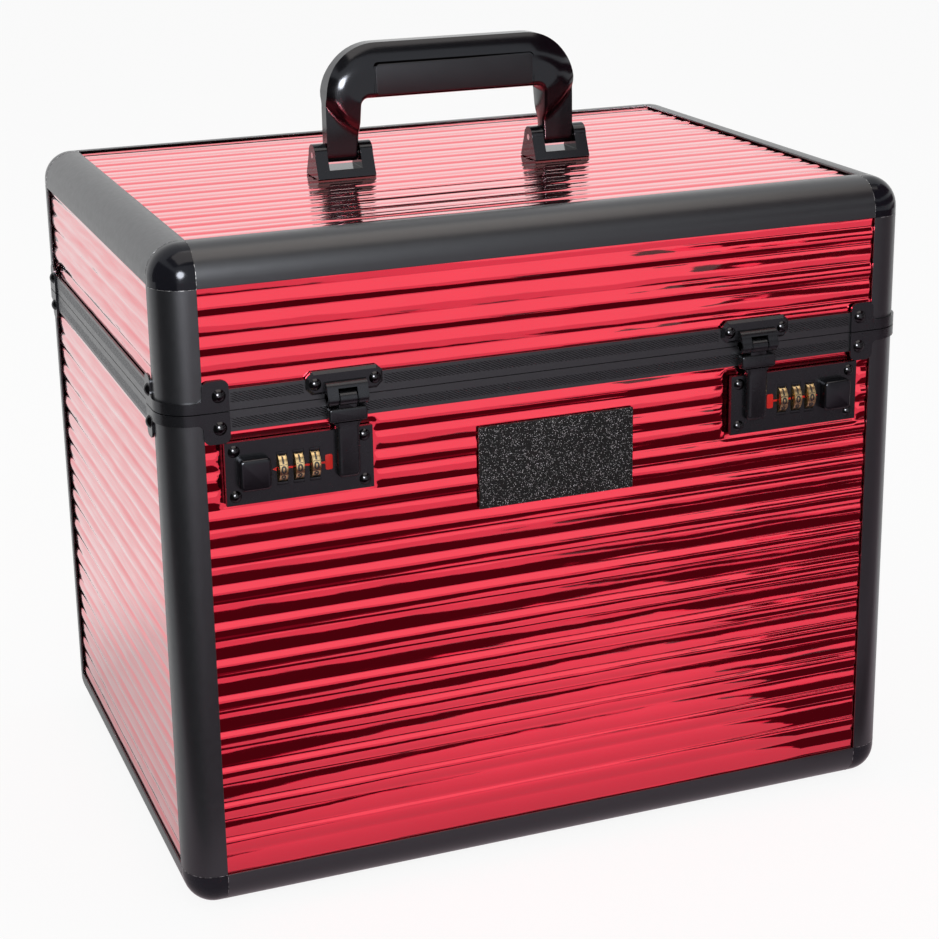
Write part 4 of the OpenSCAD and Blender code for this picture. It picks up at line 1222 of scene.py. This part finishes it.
# Stage: a white floor, cards that only reflections see, soft light and the camera
FLOOR_GLOW = 0.9
WORLD_LEVEL = 0.55
STAGE_REACH = 6.0
DARK_LEVEL = 0.07
TABLE_FRONT_LEVEL = 0.16
DIM_LEVEL = 0.76
LEFT_LEVEL = 0.08
# Glow of the table card, dimmer near the case as painted shadow, and how far from the case that
# painted shadow reaches
TABLE_LEVELS = (0.56, 0.88)
TABLE_SHADOW_REACH = 0.16
TABLE_TURN = (-0.16, -0.06)
TABLE_EDGE = ((-1.2, 0.246, 0), (1.09, -0.796, 0))
TABLE_REST = ((6.0, -0.796, 0), (6.0, 6.0, 0), (-6.0, 6.0, 0), (-6.0, 0.246, 0))
TABLE_FRONT = ((1.17, -0.975, -0.12), (-1.12, 0.066, -0.12))
WHITE = (1, 1, 1, 1)
PAPER = (0.86, 0.86, 0.86, 1)
MAROON = (1.0, 0.18, 0.45, 1)
ROSY = (1.0, 0.78, 0.87, 1)
PINK = (1.0, 0.72, 0.84, 1)
# Top edges of curtains: a dark one, a dimmer part of the light behind it, one at the left
DARK_CURTAIN = (
    (-2.5, -3.2, -0.95), (0.40, -2.26, -0.62), (0.33, -0.855, -0.14), (1.3, -0.80, -0.12)
)
DIM_CURTAIN = (
    (-2.8, -4.2, -0.90), (0.50, -3.00, -0.45), (0.45, -1.25, -0.08), (1.6, -1.20, -0.05)
)
LEFT_CURTAIN = ((-1.7, -3.2, 1.5), (-1.7, 0.8, 1.5))
CURTAIN_LOW = -4.0


def stage_plane(name, corners, material):
    mesh = bpy.data.meshes.new(name)
    mesh.from_pydata(corners, [], [list(range(len(corners)))])
    mesh.materials.append(material)
    obj = linked(name, mesh)
    return obj


def card(name, corners, material):
    """A stage plane that only reflections see."""
    obj = stage_plane(name, corners, material)
    obj.visible_camera = obj.visible_diffuse = False
    obj.visible_shadow = obj.visible_transmission = False


def white_share(tree):
    """One for camera, glossy and transmission rays, zero for the rest."""
    rays = add_node(tree, "LightPath").outputs
    share = reckoned(tree, "Math", "MAXIMUM", rays["Is Camera Ray"], rays["Is Glossy Ray"])
    return reckoned(tree, "Math", "MAXIMUM", share, rays["Is Transmission Ray"])


def floor_material():
    """White paper: mostly plain white to the camera, with some of the object's shadow."""
    mat, tree, shader = node_tree("floor_white")
    feed(tree, shader, Base_Color=PAPER, Roughness=0.8)
    glow = add_node(tree, "Emission", Strength=1.0)
    seen = add_node(tree, "LightPath").outputs["Is Camera Ray"]
    mix = add_node(tree, "MixShader", Fac=between(tree, seen, 0.0, FLOOR_GLOW))
    plug(tree, mix.inputs[1], shader.outputs["BSDF"])
    plug(tree, mix.inputs[2], glow.outputs["Emission"])
    feed(tree, tree.nodes["Material Output"], Surface=mix.outputs["Shader"])
    return mat


def show_glow(tree, level, color):
    """Shows plain light instead of the shader."""
    glow = add_node(tree, "Emission", Strength=level, Color=color)
    feed(tree, tree.nodes["Material Output"], Surface=glow.outputs["Emission"])


def glow_material(name, level, color=WHITE):
    """Plain light of a level, for cards that only reflections see."""
    mat, tree, _ = node_tree(name)
    show_glow(tree, level, color)
    return mat


def table_material():
    """A card glowing as a lit table top, with painted shadow that dims it close to the case, and
    rosy in front of it.
    """
    mat, tree, _ = node_tree("table")
    place = add_node(tree, "SeparateXYZ", Vector=object_place(tree)).outputs
    away = []
    for axis, half in (("X", HALF_W), ("Y", HALF_D)):
        size = reckoned(tree, "Math", "ABSOLUTE", place[axis])
        away.append(reckoned(tree, "Math", "SUBTRACT", size, half * MM))
    far = reckoned(tree, "Math", "MAXIMUM", *away)
    # Painted shadow: the glow dims towards the case
    shadow_ramp = between(tree, far, *TABLE_LEVELS, 0.0, TABLE_SHADOW_REACH)
    side = between(tree, place["Y"], 0.0, 1.0, *TABLE_TURN)
    show_glow(tree, shadow_ramp, blend(tree, side, ROSY, WHITE))
    return mat


def curtain(name, top, level, color=WHITE):
    """Cards hanging down from a line of points."""
    material = glow_material(name, level, color)
    for number, (a, b) in enumerate(zip(top, top[1:])):
        corners = [a, b, (b[0], b[1], CURTAIN_LOW), (a[0], a[1], CURTAIN_LOW)]
        card(f"{name}_{number}", corners, material)


def make_floor():
    """The floor, and in reflections a table that ends in front, with curtains beyond its edge."""
    r = STAGE_REACH
    corners = [(-r, -r, 0), (r, -r, 0), (r, r, 0), (-r, r, 0)]
    stage_plane("floor", corners, floor_material()).visible_glossy = False
    card("table", [*TABLE_EDGE, *TABLE_REST], table_material())
    front = glow_material("table_front", TABLE_FRONT_LEVEL, MAROON)
    card("table_front", [*TABLE_EDGE, *TABLE_FRONT], front)
    curtain("dark_curtain", DARK_CURTAIN, DARK_LEVEL, MAROON)
    curtain("left_curtain", LEFT_CURTAIN, LEFT_LEVEL)
    curtain("dim_curtain", DIM_CURTAIN, DIM_LEVEL, PINK)


# Slats of a screen at the right: where they start, and their ends in height
SLATS = [(0.70, 0.00, 0.18), (0.64, 0.36, 0.70), (0.80, 0.95, 2.20)]
SCREEN_Y = -1.3
SCREEN_END = (2.4, 0.6)
# Dark strips on the table at the right: where they start, and their ends in depth
STRIPS = [(0.17, -0.27, -0.18), (0.18, -0.47, -0.33), (0.24, -0.74, -0.56)]
STRIP_Z = 0.001
CEILING = 2.6
CEILING_EDGE = ((2, -2.4), (-2, -2.4), (-2, 0.1), (2, 0.1))
CEILING_LEVEL = 0.17


def make_screen():
    """A slatted dark screen at the right, which breaks up the light there."""
    mat = glow_material("dark_screen", DARK_LEVEL, MAROON)
    for number, (start, low, high) in enumerate(SLATS):
        near, far = (start, SCREEN_Y), SCREEN_END
        card(f"slat_{number}", [(*near, low), (*far, low), (*far, high), (*near, high)], mat)
    for number, (start, front, back) in enumerate(STRIPS):
        end = SCREEN_END[0]
        corners = [(start, front), (end, front), (end, back), (start, back)]
        card(f"strip_{number}", [(*corner, STRIP_Z) for corner in corners], mat)
    ceiling = glow_material("ceiling", CEILING_LEVEL)
    card("ceiling", [(*corner, CEILING) for corner in CEILING_EDGE], ceiling)


def make_world():
    world = bpy.data.worlds.new("studio")
    bpy.context.scene.world = world
    world.use_nodes = True
    tree = world.node_tree
    strength = between(tree, white_share(tree), WORLD_LEVEL, 1.0)
    feed(tree, tree.nodes["Background"], Color=WHITE, Strength=strength)


def make_lamp(name, place, target, size, power, highlight=None, color=(1, 1, 1)):
    """An area light that lights softly, or one that only shows as a highlight of a form."""
    lamp = bpy.data.lights.new(name, "AREA")
    lamp.shape = "ELLIPSE" if highlight == "round" else "RECTANGLE"
    lamp.size, lamp.size_y = size
    lamp.energy = power
    lamp.color = color
    obj = linked(name, lamp)
    obj.location = place
    obj.rotation_euler = (Vector(target) - Vector(place)).to_track_quat("-Z", "Y").to_euler()
    obj.visible_camera = False
    obj.visible_diffuse = highlight is None
    obj.visible_glossy = highlight is not None


# Lamps: name, place, what they point at, size, power, and for highlights form and colour
LAMPS = (
    ("front_box", (-0.2, -1.9, 1.5), (0, 0, 0.2), (2.2, 1.6), 12),
    ("left_box", (-1.9, -0.3, 1.2), (0, 0, 0.2), (1.6, 1.6), 8),
    ("top_box", (0.2, 0.3, 2.2), (0, 0, 0.3), (2.0, 2.0), 10),
    ("flash", (-0.41, -1.09, 0.58), (0, 0, 0.27), (0.42, 0.42), 20, "round"),
    ("window", (0.16, -0.50, 2.2), (0, 0, 0.3), (2.2, 1.5), 24, "square", (1, 0.9, 0.8)),
)


CAMERA_PLACE = Vector((-0.4005, -1.06474, 0.55748))
CAMERA_AHEAD = Vector((0.33847, 0.89632, -0.28644)).normalized()
CAMERA_ROLL = math.radians(1.0136)
CAMERA_LENS = 80.401
CAMERA_SHIFT = (0.01359, -0.09555)
CAMERA_SENSOR = 36


def make_camera():
    data = bpy.data.cameras.new("camera")
    data.sensor_width = CAMERA_SENSOR
    data.lens = CAMERA_LENS
    data.shift_x, data.shift_y = CAMERA_SHIFT
    side = CAMERA_AHEAD.cross(Vector((0, 0, 1))).normalized()
    level_up = side.cross(CAMERA_AHEAD)
    up = level_up * math.cos(CAMERA_ROLL) + side * math.sin(CAMERA_ROLL)
    right = CAMERA_AHEAD.cross(up)
    turn = Matrix((right, up, -CAMERA_AHEAD)).transposed().to_4x4()
    camera = linked("camera", data)
    camera.matrix_world = Matrix.Translation(CAMERA_PLACE) @ turn
    bpy.context.scene.camera = camera


make_floor()
make_screen()
make_world()
for lamp_values in LAMPS:
    make_lamp(*lamp_values)
make_camera()
bpy.context.scene.view_settings.view_transform = "Standard"
